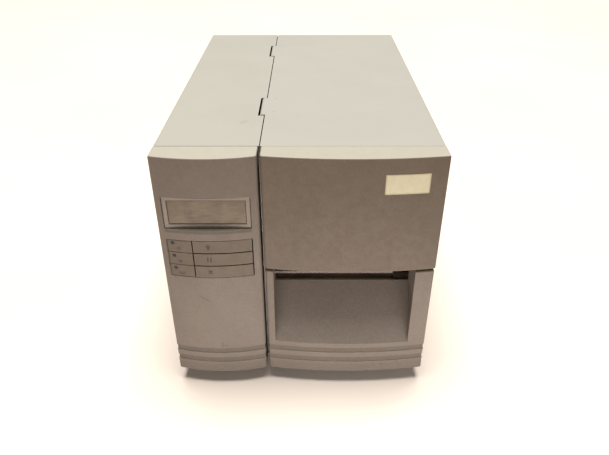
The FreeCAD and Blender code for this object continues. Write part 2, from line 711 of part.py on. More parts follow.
def indicator_panel():
    """Fixed column of lamp cells at the left of the keys."""
    x0, x1 = KEY_X0 + FIT_GAP, KEY_X0 + LAMP_COLUMN
    z0, z1 = KEY_Z0 + FIT_GAP, KEY_Z1 - FIT_GAP
    cells = rounded_block(x0, x1, FRONT - 20, FRONT + KEY_BACK, z0, z1, KEY_CORNER, "y")
    column = cells.common(key_space())
    lines = []
    for row in range(1, len(KEY_NAMES)):
        z = KEY_Z0 + KEY_PITCH * row
        ring = bow_block(LEFT_PANEL, -1, FRONT + 9, z - 0.3, z + 0.3)
        core = bow_block(LEFT_PANEL, FIT_GAP + 0.6, FRONT + 10, z - 1, z + 1)
        lines.append(ring.cut(core))
    holes = [lamp_hole(x, z, FIT_GAP / 2, FRONT - 20, FRONT + 9) for x, z in lamp_places()]
    return column.cut(lines + holes)


def indicator_lenses():
    """Light pipes from the key board to the lamp cells."""
    space = bow_block(LEFT_PANEL, -0.1, BOARD_Y, BOTTOM, TOP)
    return group(lamp_hole(x, z, 0, FRONT - 20, BOARD_Y - 2).common(space) for x, z in lamp_places())


def control_key(row):
    """Key that swings on the upright rod at its left end."""
    z0 = KEY_Z0 + KEY_PITCH * row + KEY_GAP / 2
    z1 = z0 + KEY_PITCH - KEY_GAP
    x0 = KEY_X0 + LAMP_COLUMN + KEY_GAP
    face = box(x0, KEY_X1 - KEY_GAP, FRONT - 20, FRONT + KEY_BACK, z0, z1).common(key_space())
    ring = rod_z(ROD_X, ROD_Y, KEY_RING, z0, z1)
    web = box(x0 + 0.5, x0 + 4.5, FRONT, ROD_Y, z0, z1)
    key = fuse(face, ring, web)
    return key.cut(rod_z(ROD_X, ROD_Y, KEY_ROD + RUN_GAP, z0 - 1, z1 + 1))


def panel_board():
    """Small circuit board behind the keys, with its lamps and push switches."""
    pieces = [box(KEY_X0 - 1, KEY_X1 + 1, BOARD_Y, BOARD_Y + KEY_BOARD, KEY_Z0 - 6, KEY_Z1 + 6)]
    for x, z in lamp_places():
        pieces.append(lamp_hole(x, z, 0, BOARD_Y - 1.7, BOARD_Y))
        switch_z = z + LAMP_DROP - KEY_PITCH / 2
        switch_x = KEY_X1 - 18
        switch = (switch_x - 3, switch_x + 3, BOARD_Y - 3.5, BOARD_Y, switch_z - 3, switch_z + 3)
        pieces.append(box(*switch))
        pieces.append(rod_y(switch_x, switch_z, 1.6, FRONT + KEY_BACK + 1.3, BOARD_Y - 3.5))
    return fuse(*pieces)


def base_tray():
    """Folded floor with side flanges and air slots."""
    x0, x1 = LEFT + SHEET + FIT_GAP, RIGHT - SHEET - MOVE_GAP
    y0 = BEZEL_BACK + FIT_GAP
    floor = box(x0, x1, y0, REAR_FACE, BOTTOM, FLOOR)
    flanges = [box(x, x + BASE_SHEET, y0, REAR_INSIDE - FIT_GAP, BOTTOM, FLOOR + TRAY_FLANGE)
               for x in (x0, x1 - BASE_SHEET)]
    slots = []
    for k in range(7):
        x = LEFT + 24 + 8 * k
        slots.append(rounded_block(x, x + 4, REAR - 150, REAR - 100, BOTTOM - 1, FLOOR + 1, 1.9, "z"))
    return fuse(floor, *flanges).cut(slots)


def rubber_feet():
    """Four rubber feet under the tray."""
    feet = []
    for x in (LEFT + FOOT_INSET, RIGHT - FOOT_INSET):
        for y in (FRONT + FOOT_INSET + 10, REAR - FOOT_INSET):
            foot = Part.makeCone(FOOT_RADIUS - 2, FOOT_RADIUS, BOTTOM, V(x, y, 0))
            feet.append(foot.cut(rod_z(x, y, 4.0, -1, 5)))
    return group(feet)


def wall_holes(clearance=SEAT_GAP):
    """Holes through the centre wall for bushes and shafts."""
    places = (
        (PLATEN_Y, PLATEN_Z, BUSH_RADIUS + clearance),
        (REWIND_Y, REWIND_Z, BUSH_RADIUS + clearance),
        (SUPPLY_Y, SUPPLY_Z, BUSH_RADIUS + clearance),
        (LEVER_Y, LEVER_Z, LEVER_SHAFT + RUN_GAP),
        (PIVOT_Y, PIVOT_Z, SHAFT_RADIUS + clearance),
        (IDLER_Y, IDLER_Z, IDLER_SHAFT + clearance),
    )
    return [rod_x(y, z, r, WALL_X0 - 1, WALL_X1 + 1) for y, z, r in places]


def cross_places():
    """Fixed round bars between the centre wall and the outboard plate."""
    return RIBBON_RODS + ((ROLLER_Y, ROLLER_Z), (SENSOR_Y, SENSOR_Z))


def centre_wall():
    """Upright steel plate that carries the mechanism."""
    y0, y1 = BEZEL_BACK + 3, REAR_INSIDE - FIT_GAP
    plate = box(WALL_X0, WALL_X1, y0, y1, FLOOR, TOP - WALL_DROP)
    flange = box(WALL_X0 - WALL_FOOT, WALL_X0, y0 + WALL_FOOT_FRONT, y1 - WALL_FOOT_REAR,
                 FLOOR, FLOOR + WALL_THICK)
    slot_start, slot_half = PIVOT_Y + CABLE_SLOT_BACK, CABLE_SLOT_HEIGHT / 2
    slot_y = (slot_start, slot_start + CABLE_SLOT_LENGTH)
    slot_z = (PIVOT_Z - slot_half, PIVOT_Z + slot_half)
    cable_slot = rounded_block(WALL_X0 - 1, WALL_X1 + 1, *slot_y, *slot_z, CABLE_SLOT_CORNER, "x")
    return fuse(plate, flange).cut(wall_holes() + [cable_slot])


def outboard_plate():
    """Right-hand side frame of the print mechanism."""
    y0, y1 = FRONT + CHUTE_BACK + CHUTE_THICK + PLATE_FRONT_GAP, ROLLER_Y + PLATE_REAR
    top = LEVER_Z + LEVER_SHAFT + PLATE_TOP
    shoulder = [(y1, ROLLER_Z + PLATE_REAR_TOP), (PIVOT_Y + PLATE_SHOULDER, top)]
    plate = prism_x([(y0, FLOOR), (y1, FLOOR), *shoulder, (y0, top)], OUT_X0, OUT_X1)
    foot = box(OUT_X1, OUT_X1 + WALL_FOOT, y0 + PLATE_FOOT_FRONT, y1, FLOOR, FLOOR + WALL_THICK)
    holes = [
        rod_x(PLATEN_Y, PLATEN_Z, BUSH_RADIUS + SEAT_GAP, OUT_X0 - 1, OUT_X1 + 1),
        rod_x(LEVER_Y, LEVER_Z, LEVER_SHAFT + RUN_GAP, OUT_X0 - 1, OUT_X1 + 1),
        rod_x(PIVOT_Y, PIVOT_Z, SHAFT_RADIUS + SEAT_GAP, OUT_X0 - 1, OUT_X1 + 1),
    ]
    return fuse(plate, foot).cut(holes)


def cross_rods():
    """Ribbon guides, roller axle and sensor rail."""
    return group(rod_x(y, z, ROD_RADIUS, WALL_X1, OUT_X0) for y, z in cross_places())


def tear_bar():
    """Saw-toothed bar in front of the platen."""
    x0, x1 = WALL_X1 + FIT_GAP, OUT_X0 - FIT_GAP
    front = FRONT + CHUTE_BACK + CHUTE_THICK + FIT_GAP
    back = front + TEAR_DEPTH
    teeth = int((x1 - x0) / TEAR_PITCH)
    pitch = (x1 - x0) / teeth
    edge = []
    for k in range(teeth):
        edge.append((x0 + pitch * k, front + TEAR_TOOTH))
        edge.append((x0 + pitch * (k + 0.5), front))
    outline = edge + [(x1, front + TEAR_TOOTH), (x1, back), (x0, back)]
    blade = prism_z(outline, PATH_Z - TEAR_SHEET, PATH_Z)
    skirt = box(x0, x1, back - TEAR_SHEET, back, PATH_Z - TEAR_SKIRT, PATH_Z)
    return fuse(blade, skirt)


def platen_bushes():
    """Flanged plain bearings at both ends of the platen."""
    bushes = []
    left_bush = (WALL_X0 - BUSH_OUT, WALL_X1, WALL_X1)
    right_bush = (OUT_X0, OUT_X1 + BUSH_OUT, OUT_X0 - BUSH_FLANGE)
    for x0, x1, flange in (left_bush, right_bush):
        bore = SHAFT_RADIUS + RUN_GAP
        sleeve = tube_x(PLATEN_Y, PLATEN_Z, BUSH_RADIUS, bore, x0, x1)
        rim = tube_x(PLATEN_Y, PLATEN_Z, BUSH_RADIUS + 2, bore, flange, flange + BUSH_FLANGE)
        bushes.append(fuse(sleeve, rim))
    return group(bushes)


def spindle_bushes():
    """Flanged plain bearings of the two ribbon spindles."""
    bushes = []
    for y, z in ((REWIND_Y, REWIND_Z), (SUPPLY_Y, SUPPLY_Z)):
        bore = SHAFT_RADIUS + RUN_GAP
        sleeve = tube_x(y, z, BUSH_RADIUS, bore, WALL_X0 - BUSH_OUT, WALL_X1)
        bushes.append(fuse(sleeve, tube_x(y, z, BUSH_RADIUS + 3, bore, WALL_X1, WALL_X1 + BUSH_FLANGE)))
    return group(bushes)


def platen_shaft():
    """Steel shaft of the platen roller."""
    return rod_x(PLATEN_Y, PLATEN_Z, SHAFT_RADIUS, PLATEN_PLANE[0], OUT_X1 + BUSH_OUT + 2)


def platen_rubber():
    """Rubber sleeve that drives the labels."""
    return tube_x(PLATEN_Y, PLATEN_Z, PLATEN_RADIUS, SHAFT_RADIUS + SEAT_GAP, WALL_X1 + 3, OUT_X0 - 3)


def gear(y, z, teeth, phase, span):
    """Spur gear with straight-sided stand-ins for involute flanks, one tooth at the phase angle."""
    pitch_radius = GEAR_MODULE * teeth / 2
    base_radius = pitch_radius * math.cos(math.radians(20))
    radii = (pitch_radius - 1.2 * GEAR_MODULE, pitch_radius, pitch_radius + 0.85 * GEAR_MODULE)

    def half_angle(radius):
        lean = math.acos(min(1.0, base_radius / radius))
        start = math.pi / (2 * teeth) - TOOTH_PLAY / (2 * pitch_radius)
        pitch_lean = math.radians(20)
        return start + math.tan(pitch_lean) - pitch_lean - math.tan(lean) + lean

    points = []
    for tooth in range(teeth):
        middle = math.radians(phase) + 2 * math.pi * tooth / teeth
        flank = [(r, -half_angle(r)) for r in radii] + [(r, half_angle(r)) for r in reversed(radii)]
        points += [(y + r * math.cos(middle + a), z + r * math.sin(middle + a)) for r, a in flank]
    return prism_x(points, *span)


def pulley(y, z, radius):
    """Flanged belt wheel in the belt's plane."""
    rims = [rod_x(y, z, radius + PULLEY_RIM, x, x + PULLEY_RIM_THICK)
            for x in (PULLEY_X0, PULLEY_X1 - PULLEY_RIM_THICK)]
    return fuse(rod_x(y, z, radius, PULLEY_X0, PULLEY_X1), *rims)


def platen_gear():
    """Gear on the left end of the platen shaft."""
    wheel = gear(PLATEN_Y, PLATEN_Z, PLATEN_TEETH, IDLER_LEAN, PLATEN_PLANE)
    x0, x1 = PLATEN_PLANE
    return wheel.cut(rod_x(PLATEN_Y, PLATEN_Z, SHAFT_RADIUS + SEAT_GAP, x0 - 1, x1 + 1))


def idler_gear():
    """Double gear between motor and platen, with the ribbon belt's pulley."""
    phase = IDLER_LEAN + 180 + 180 / IDLER_SMALL_TEETH
    small = gear(IDLER_Y, IDLER_Z, IDLER_SMALL_TEETH, phase, PLATEN_PLANE)
    large = gear(IDLER_Y, IDLER_Z, IDLER_LARGE_TEETH, MOTOR_LEAN, MOTOR_PLANE)
    hub = rod_x(IDLER_Y, IDLER_Z, IDLER_SHAFT + 3, MOTOR_PLANE[0], PULLEY_X1)
    wheel = fuse(hub, small, large, pulley(IDLER_Y, IDLER_Z, IDLER_PULLEY))
    return wheel.cut(rod_x(IDLER_Y, IDLER_Z, IDLER_SHAFT + RUN_GAP, MOTOR_PLANE[0] - 1, PULLEY_X1 + 1))


def idler_shaft():
    """Fixed axle of the double gear."""
    return rod_x(IDLER_Y, IDLER_Z, IDLER_SHAFT, MOTOR_PLATE[0], WALL_X1)


def motor_pinion():
    """Motor shaft with its pinion."""
    teeth = gear(MOTOR_Y, MOTOR_Z, PINION_TEETH, MOTOR_LEAN + 180 + 180 / PINION_TEETH, MOTOR_PLANE)
    shaft = rod_x(MOTOR_Y, MOTOR_Z, MOTOR_SHAFT, MOTOR_PLATE[0] - 16, MOTOR_PLANE[1])
    return fuse(teeth, shaft)


def motor_bracket():
    """Plate that holds the motor off the centre wall."""
    reach = PILLAR_REACH + PILLAR_EDGE
    low, high = PILLAR_LOW + PILLAR_EDGE, PILLAR_HIGH + PILLAR_EDGE
    outline = (MOTOR_Y - reach, MOTOR_Y + reach, MOTOR_Z - low, MOTOR_Z + high)
    plate = rounded_block(*MOTOR_PLATE, *outline, 6.0, "x")
    holes = [
        rod_x(MOTOR_Y, MOTOR_Z, 19.05 + SEAT_GAP, MOTOR_PLATE[0] - 1, MOTOR_PLATE[1] + 1),
        rod_x(IDLER_Y, IDLER_Z, IDLER_SHAFT + SEAT_GAP, MOTOR_PLATE[0] - 1, MOTOR_PLATE[1] + 1),
    ]
    return plate.cut(holes)


def pillars():
    """Spacers of the motor bracket and of the main board."""
    posts = [rod_x(MOTOR_Y + dy, MOTOR_Z + dz, 4.0, MOTOR_PLATE[1], WALL_X0) for dy, dz in PILLARS]
    y0, y1, z0, z1 = board_outline()
    for y in (y0 + BOARD_HOLE, y1 - BOARD_HOLE):
        for z in (z0 + BOARD_HOLE, z1 - BOARD_HOLE):
            posts.append(rod_x(y, z, BOARD_POST, BOARD_X1, WALL_X0))
    return group(posts)


def stepper_motor():
    """Square stepper motor on the bracket."""
    half = MOTOR_SIZE / 2
    x1 = MOTOR_PLATE[0]
    section = (MOTOR_Y - half, MOTOR_Y + half, MOTOR_Z - half, MOTOR_Z + half)
    body = rounded_block(x1 - MOTOR_LENGTH, x1, *section, 4.0, "x")
    boss = rod_x(MOTOR_Y, MOTOR_Z, 19.05, x1 - 1, x1 + 1.6)
    bore = rod_x(MOTOR_Y, MOTOR_Z, MOTOR_SHAFT + RUN_GAP, x1 - 18, x1 + 3)
    return fuse(body, boss).cut(bore)


def belt_outline(grow, x0, x1):
    """Band round both pulleys, grown outwards by some distance."""
    r1, r2 = IDLER_PULLEY + grow, REWIND_PULLEY + grow
    dy, dz = REWIND_Y - IDLER_Y, REWIND_Z - IDLER_Z
    heading = math.atan2(dz, dy)
    spread = math.acos((r1 - r2) / math.hypot(dy, dz))
    corners = []
    for y, z, r, order in ((IDLER_Y, IDLER_Z, r1, (1, -1)), (REWIND_Y, REWIND_Z, r2, (-1, 1))):
        turns = [heading + side * spread for side in order]
        corners += [(y + r * math.cos(turn), z + r * math.sin(turn)) for turn in turns]
    ends = [rod_x(IDLER_Y, IDLER_Z, r1, x0, x1), rod_x(REWIND_Y, REWIND_Z, r2, x0, x1)]
    return fuse(prism_x(corners, x0, x1), *ends)


def drive_belt():
    """Belt from the double gear to the ribbon rewind."""
    x0, x1 = PULLEY_X0 + PULLEY_RIM_THICK + MOVE_GAP, PULLEY_X1 - PULLEY_RIM_THICK - MOVE_GAP
    return belt_outline(BELT_GAP + BELT_THICK, x0, x1).cut(belt_outline(BELT_GAP, x0 - 1, x1 + 1))


def rewind_pulley():
    """Belt wheel of the ribbon rewind."""
    bore = rod_x(REWIND_Y, REWIND_Z, SHAFT_RADIUS + SEAT_GAP, PULLEY_X0 - 1, PULLEY_X1 + 1)
    return pulley(REWIND_Y, REWIND_Z, REWIND_PULLEY).cut(bore)


def ribbon_spindle(y, z, shaft_end):
    """Spindle for a ribbon core, with its stop flange and shaft."""
    start = WALL_X1 + BUSH_FLANGE + MOVE_GAP
    end = start + SPINDLE_STOP + SPINDLE_LENGTH
    flange = rod_x(y, z, SPINDLE_FLANGE, start, start + SPINDLE_STOP)
    core = rod_x(y, z, SPINDLE_RADIUS, start + SPINDLE_STOP, end)
    nose = [e for e in core.Edges if abs(e.CenterOfMass.x - end) < 1e-6]
    core = core.makeChamfer(1.5, nose)
    pocket = rod_x(y, z, SPINDLE_RADIUS - 3, end - SPINDLE_POCKET, end + 1)
    return fuse(flange, core.cut(pocket), rod_x(y, z, SHAFT_RADIUS, shaft_end, start + 8))


def spring_points():
    """Points along the brake spring, eight to a turn."""
    start = WALL_X0 - BUSH_OUT - MOVE_GAP - SPRING_WIRE
    run = SPRING_LENGTH - 2 * SPRING_WIRE
    steps = 8 * SPRING_TURNS
    points = []
    for k in range(steps + 1):
        turn = 2 * math.pi * k / 8
        y, z = SUPPLY_Y + SPRING_RADIUS * math.cos(turn), SUPPLY_Z + SPRING_RADIUS * math.sin(turn)
        points.append(V(start - run * k / steps, y, z))
    return points


def brake_spring():
    """Coil spring that presses the ribbon supply brake."""
    points = spring_points()
    arcs = [Part.Arc(*points[k:k + 3]).toShape() for k in range(0, len(points) - 1, 2)]
    tangent = arcs[0].tangentAt(arcs[0].FirstParameter)
    profile = Part.Wire(Part.Circle(points[0], tangent, SPRING_WIRE).toShape())
    spans = [a.distanceToPoint(b) for i, a in enumerate(points) for b in points[i + 6:]]
    gap = min(spans) - 2 * SPRING_WIRE
    print("least gap between spring turns: %.2f mm" % gap)
    return Part.Wire(arcs).makePipeShell([profile], True, False)


def brake_nut():
    """Nut that sets the ribbon supply brake."""
    x1 = WALL_X0 - BUSH_OUT - MOVE_GAP - SPRING_LENGTH - FIT_GAP
    x0 = x1 - BRAKE_NUT_THICK
    nut = rod_x(SUPPLY_Y, SUPPLY_Z, BRAKE_NUT, x0, x1)
    reach = BRAKE_NUT + BRAKE_GRIP_OUT
    grips = []
    for k in range(BRAKE_GRIPS):
        turn = 2 * math.pi * k / BRAKE_GRIPS
        y, z = SUPPLY_Y + reach * math.cos(turn), SUPPLY_Z + reach * math.sin(turn)
        grips.append(rod_x(y, z, BRAKE_GRIP, x0 - 1, x1 + 1))
    return nut.cut(grips + [rod_x(SUPPLY_Y, SUPPLY_Z, SHAFT_RADIUS + SEAT_GAP, x0 - 1, x1 + 1)])


def head_pivot_shaft():
    """Fixed axle that the print head swings on."""
    return rod_x(PIVOT_Y, PIVOT_Z, SHAFT_RADIUS, WALL_X0, OUT_X1)


def head_bracket():
    """Swinging carrier of the print head."""
    back, knee = PIVOT_Y + HEAD_EAR, PIVOT_Y - HEAD_KNEE
    ear = [(back, PIVOT_Z + HEAD_EAR), (back, PIVOT_Z - HEAD_EAR), (knee, PIVOT_Z - HEAD_KNEE_LOW)]
    nose = [(HEAD_FRONT, HEAD_TOP - HEAD_ARM), (HEAD_FRONT, HEAD_TOP)]
    outline = [*ear, *nose, (knee - HEAD_SLOPE, HEAD_TOP), (knee, PIVOT_Z + HEAD_KNEE_HIGH)]
    arms = [prism_x(outline, x, x + BRACKET_SHEET) for x in (HEAD_X0, HEAD_X1 - BRACKET_SHEET)]
    plate = box(HEAD_X0, HEAD_X1, HEAD_FRONT, knee - HEAD_PLATE_END, HEAD_TOP - BRACKET_SHEET, HEAD_TOP)
    pad_y, pad_z = (LEVER_Y - PAD_HALF, LEVER_Y + PAD_HALF), (HEAD_TOP, HEAD_TOP + PAD_HEIGHT)
    pads = [box(x - PAD_SIDE, x + CAM_WIDTH + PAD_SIDE, *pad_y, *pad_z) for x in CAM_STARTS]
    sleeve = SHAFT_RADIUS + HEAD_SLEEVE_WALL
    ends = (HEAD_X0, HEAD_X1 - HEAD_SLEEVE)
    sleeves = [rod_x(PIVOT_Y, PIVOT_Z, sleeve, x, x + HEAD_SLEEVE) for x in ends]
    bore = rod_x(PIVOT_Y, PIVOT_Z, SHAFT_RADIUS + RUN_GAP, HEAD_X0 - 1, HEAD_X1 + 1)
    return fuse(plate, *arms, *pads, *sleeves).cut(bore)


def head_heat_sink():
    """Finned block that carries the thermal head."""
    x0, x1 = HEAD_X0 + BRACKET_SHEET + FIT_GAP, HEAD_X1 - BRACKET_SHEET - FIT_GAP
    y0, y1 = HEAD_FRONT + 1, HEAD_FRONT + HEAD_DEPTH
    block = box(x0, x1, y0, y1, HEAD_BOTTOM + 2.6, HEAD_TOP - BRACKET_SHEET)
    fins = []
    for k in range(4):
        z = HEAD_BOTTOM + 8 + 4 * k
        fins.append(box(x0 - 1, x1 + 1, y0 - 1, y0 + 6, z, z + 2))
    return block.cut(fins)


def thermal_head():
    """Ceramic heater bar over the platen."""
    x0, x1 = HEAD_X0 + BRACKET_SHEET + 2, HEAD_X1 - BRACKET_SHEET - 2
    return box(x0, x1, HEAD_FRONT + 3, HEAD_FRONT + HEAD_DEPTH - 3, HEAD_BOTTOM, HEAD_BOTTOM + 2.6)


def lever_shaft():
    """Turning shaft with two cams that press the head down."""
    phase = math.radians(CAM_PHASE)
    cam_y = LEVER_Y - CAM_THROW * math.sin(phase)
    cam_z = LEVER_Z - CAM_THROW * math.cos(phase)
    cams = [rod_x(cam_y, cam_z, CAM_RADIUS, x, x + CAM_WIDTH) for x in CAM_STARTS]
    end = OUT_X1 + LEVER_GAP + LEVER_THICK + LEVER_SHAFT_END
    return fuse(rod_x(LEVER_Y, LEVER_Z, LEVER_SHAFT, WALL_X0, end), *cams)


def head_lever():
    """Hand lever on the right end of the cam shaft."""
    x0 = OUT_X1 + LEVER_GAP
    x1 = x0 + LEVER_THICK
    arm_half = LEVER_ARM / 2
    hub = rod_x(LEVER_Y, LEVER_Z, LEVER_SHAFT + LEVER_HUB, x0, x1)
    arm = box(x0 + 1, x1 - 1, LEVER_Y - LEVER_LENGTH, LEVER_Y, LEVER_Z - arm_half, LEVER_Z + arm_half)
    tip = rod_x(LEVER_Y - LEVER_LENGTH, LEVER_Z, LEVER_TIP, x0, x1 + LEVER_TIP_OUT)
    tip = tip.makeFillet(1.5, tip.Edges[:1] + tip.Edges[2:])
    lever = fuse(hub, arm, tip)
    lever.rotate(V(0, LEVER_Y, LEVER_Z), V(1, 0, 0), -LEVER_TILT)
    return lever.cut(rod_x(LEVER_Y, LEVER_Z, LEVER_SHAFT + SEAT_GAP, x0 - 1, x1 + 1))


def media_path_plate():
    """Sheet that the labels slide over, with the sensor slot."""
    x0, x1 = WALL_X1 + FIT_GAP, OUT_X0 - FIT_GAP
    plate = box(x0, x1, PATH_Y0, PATH_Y1, PATH_Z - PATH_SHEET, PATH_Z)
    apron = box(x0, x1, PATH_Y0, PATH_Y0 + PATH_SHEET, PATH_Z - PATH_APRON, PATH_Z)
    slot_x = (x0 + SENSOR_SLOT_END, x1 - SENSOR_SLOT_END)
    slot_y = (SENSOR_Y - SENSOR_SLOT / 2, SENSOR_Y + SENSOR_SLOT / 2)
    slot = rounded_block(*slot_x, *slot_y, PATH_Z - 5, PATH_Z + 1, 3.0, "z")
    return fuse(plate, apron).cut(slot)


def media_edge_guide():
    """Sliding fence that hooks over the back edge of the path plate."""
    x1 = OUT_X0 - EDGE_GUIDE_GAP
    x0 = x1 - EDGE_GUIDE_WIDTH
    z1 = PATH_Z + MOVE_GAP
    z0 = PATH_Z - PATH_SHEET - MOVE_GAP
    y0, y1 = PATH_Y0 + EDGE_GUIDE_FRONT, PATH_Y1 + MOVE_GAP
    outside, above, under = y1 + EDGE_GUIDE_SHEET, z1 + EDGE_GUIDE_SHEET, z0 - EDGE_GUIDE_SHEET
    base = box(x0, x1, y0, outside, z1, above)
    fence = box(x0, x0 + FENCE_THICK, y0, outside, z1, z1 + FENCE_HEIGHT)
    leg = box(x0, x1, y1, outside, under, above)
    hook = box(x0, x1, PATH_Y1 - EDGE_GUIDE_HOOK, outside, under, z0)
    return fuse(base, fence, leg, hook)


def gap_sensor():
    """Label sensor that slides on its rail."""
    x = (WALL_X1 + OUT_X0) / 2
    half = SENSOR_WIDTH / 2
    top = PATH_Z - PATH_SHEET - MOVE_GAP
    y0, y1 = SENSOR_Y - SENSOR_HALF, SENSOR_Y + SENSOR_HALF
    body = box(x - half, x + half, y0, y1, SENSOR_Z - SENSOR_DROP, top)
    return body.cut(rod_x(SENSOR_Y, SENSOR_Z, ROD_RADIUS + RUN_GAP, x - half - 1, x + half + 1))


def guide_roller():
    """Free roller at the back of the path plate."""
    x0, x1 = WALL_X1 + ROLLER_END_GAP, OUT_X0 - ROLLER_END_GAP
    return tube_x(ROLLER_Y, ROLLER_Z, GUIDE_ROLLER, ROD_RADIUS + RUN_GAP, x0, x1)


def hanger_profile(grow, x0, x1):
    """Half-round beam, grown on all sides by some distance."""
    half = HANGER_RADIUS + grow
    low = HANGER_Z + HANGER_RADIUS - HANGER_DEPTH - grow
    upper = box(x0, x1, HANGER_Y - 99, HANGER_Y + 99, low, TOP)
    return fuse(rod_x(HANGER_Y, HANGER_Z, half, x0, x1).common(upper))


def media_hanger():
    """Beam that the label roll hangs on."""
    half = HANGER_PLATE / 2
    flange = box(WALL_X1, WALL_X1 + HANGER_PLATE_THICK, HANGER_Y - half, HANGER_Y + half,
                 HANGER_Z - half, HANGER_Z + half)
    end = WALL_X1 + HANGER_LENGTH
    stop = hanger_profile(HANGER_STOP, end - HANGER_STOP, end)
    return fuse(flange, hanger_profile(0, WALL_X1, end), stop)


def roll_guide():
    """Disc that slides along the beam up to the roll."""
    x1 = WALL_X1 + HANGER_LENGTH - ROLL_GUIDE_FROM_END
    x0 = x1 - ROLL_GUIDE_THICK
    hub_x0 = x0 - ROLL_GUIDE_HUB
    disc = rod_x(HANGER_Y, HANGER_Z, ROLL_GUIDE_RADIUS, x0, x1)
    hub = rod_x(HANGER_Y, HANGER_Z, HANGER_RADIUS + ROLL_GUIDE_HUB_WALL, hub_x0, x1)
    return fuse(disc, hub).cut(hanger_profile(MOVE_GAP, hub_x0 - 1, x1 + 1))


def board_outline():
    """Extent of the main board in Y and Z."""
    return SUPPLY_Y + BOARD_FRONT, REAR_INSIDE - BOARD_REAR, BOTTOM + BOARD_BASE, TOP - BOARD_DROP


def main_board():
    """Main circuit board with its larger components."""
    y0, y1, z0, z1 = board_outline()
    x1 = BOARD_X1
    x0 = x1 - BOARD_SHEET
    can_z, choke_z, chip_z, header_z = [z0 + (z1 - z0) * share for share in (0.17, 0.38, 0.65, 0.87)]
    pieces = [box(x0, x1, y0, y1, z0, z1)]
    for k in range(4):
        y = y0 + BOARD_FRONT + BOARD_PITCH * k
        chip = (chip_z - CHIP_SIZE / 2, chip_z + CHIP_SIZE / 2)
        header = (header_z - HEADER_HEIGHT / 2, header_z + HEADER_HEIGHT / 2)
        pieces.append(box(x0 - CHIP_THICK, x0, y, y + CHIP_SIZE, *chip))
        pieces.append(box(x0 - HEADER_HEIGHT / 2, x0, y, y + HEADER_LENGTH, *header))
        pieces.append(rod_x(y + CAN_RADIUS, can_z, CAN_RADIUS, x0 - CAN_LENGTH, x0))
    choke = (choke_z - CHOKE_HEIGHT / 2, choke_z + CHOKE_HEIGHT / 2)
    pieces.append(box(x0 - CHOKE_THICK, x0, y0 + BOARD_PITCH, y0 + BOARD_PITCH + CHOKE_LENGTH, *choke))
    return fuse(*pieces)


def power_supply():
    """Boxed mains supply on the base tray."""
    x0, x1 = LEFT + SUPPLY_BOX_SIDE, WALL_X0 - SUPPLY_BOX_WALL_GAP
    y0, y1 = SUPPLY_Y + SUPPLY_BOX_FRONT, REAR_INSIDE - SUPPLY_BOX_REAR
    top = FLOOR + SUPPLY_BOX_HEIGHT
    case = box(x0, x1, y0, y1, FLOOR, top)
    slots = []
    side = SUPPLY_SLOT_SIDE
    for k in range(int((y1 - y0 - 2 * SUPPLY_SLOT_END) / SUPPLY_SLOT_PITCH)):
        y = y0 + SUPPLY_SLOT_END + SUPPLY_SLOT_PITCH * k
        slots.append(box(x0 + side, x1 - side, y, y + SUPPLY_SLOT, top - SUPPLY_SLOT_DEPTH, top + 1))
    return case.cut(slots)


def power_inlet():
    """Three-pin mains socket, open to the back."""
    w, h = INLET_WIDTH / 2, INLET_HEIGHT / 2
    rim_w, rim_h = w + INLET_FLANGE, h + INLET_FLANGE
    flange = box(INLET_X - rim_w, INLET_X + rim_w, REAR_FACE, REAR_FACE + INLET_FLANGE,
                 INLET_Z - rim_h, INLET_Z + rim_h)
    body_back = REAR_FACE - INLET_CAVITY - INLET_BACK
    body = box(INLET_X - w, INLET_X + w, body_back, REAR_FACE, INLET_Z - h, INLET_Z + h)
    room_w, room_h = w - INLET_WALL, h - INLET_WALL
    room_y = (REAR_FACE - INLET_CAVITY, REAR_FACE + INLET_FLANGE + 1)
    cavity = box(INLET_X - room_w, INLET_X + room_w, *room_y, INLET_Z - room_h, INLET_Z + room_h)
    socket = fuse(flange, body).cut(cavity)
    pins = []
    for dx, dz in ((-7, -3), (0, 1), (7, -3)):
        pins.append(box(INLET_X + dx - 1, INLET_X + dx + 1, REAR_FACE - INLET_CAVITY - 1, REAR_FACE - 2,
                        INLET_Z + dz - 2, INLET_Z + dz + 2))
    return fuse(socket, *pins)


def rocker_space(wall):
    """Block round the rocker, grown by a wall on each side."""
    w, h = ROCKER_WIDTH / 2 + MOVE_GAP + wall, ROCKER_HEIGHT / 2 + 1 + wall
    return ROCKER_X - w, ROCKER_X + w, ROCKER_Z - h, ROCKER_Z + h


def rocker_frame():
    """Snap-in frame of the power switch."""
    x0, x1, z0, z1 = rocker_space(ROCKER_RIM)
    flange = box(x0, x1, REAR_FACE, REAR_FACE + ROCKER_WALL, z0, z1)
    x0, x1, z0, z1 = rocker_space(ROCKER_WALL)
    body = box(x0, x1, REAR_FACE - ROCKER_DEPTH, REAR_FACE, z0, z1)
    x0, x1, z0, z1 = rocker_space(0.0)
    cavity = box(x0, x1, REAR_FACE - ROCKER_ROOM, REAR_FACE + ROCKER_WALL + 1, z0, z1)
    pivot = rod_x(ROCKER_Y, ROCKER_Z, ROCKER_PIVOT + RUN_GAP, x0 - 1.2, x1 + 1.2)
    return fuse(flange, body).cut([cavity, pivot])


def power_rocker():
    """Rocker of the power switch, tilted to off."""
    h = ROCKER_HEIGHT / 2
    outline = [(-4, 1 - h), (3, -h), (1.2, 0), (3, h), (-4, h - 1)]
    half = ROCKER_WIDTH / 2
    points = [(ROCKER_Y + y, ROCKER_Z + z) for y, z in outline]
    body = prism_x(points, ROCKER_X - half, ROCKER_X + half)
    stub = half + 1.4
    rocker = fuse(body, rod_x(ROCKER_Y, ROCKER_Z, ROCKER_PIVOT, ROCKER_X - stub, ROCKER_X + stub))
    rocker.rotate(V(0, ROCKER_Y, ROCKER_Z), V(1, 0, 0), -ROCKER_TILT)
    return rocker


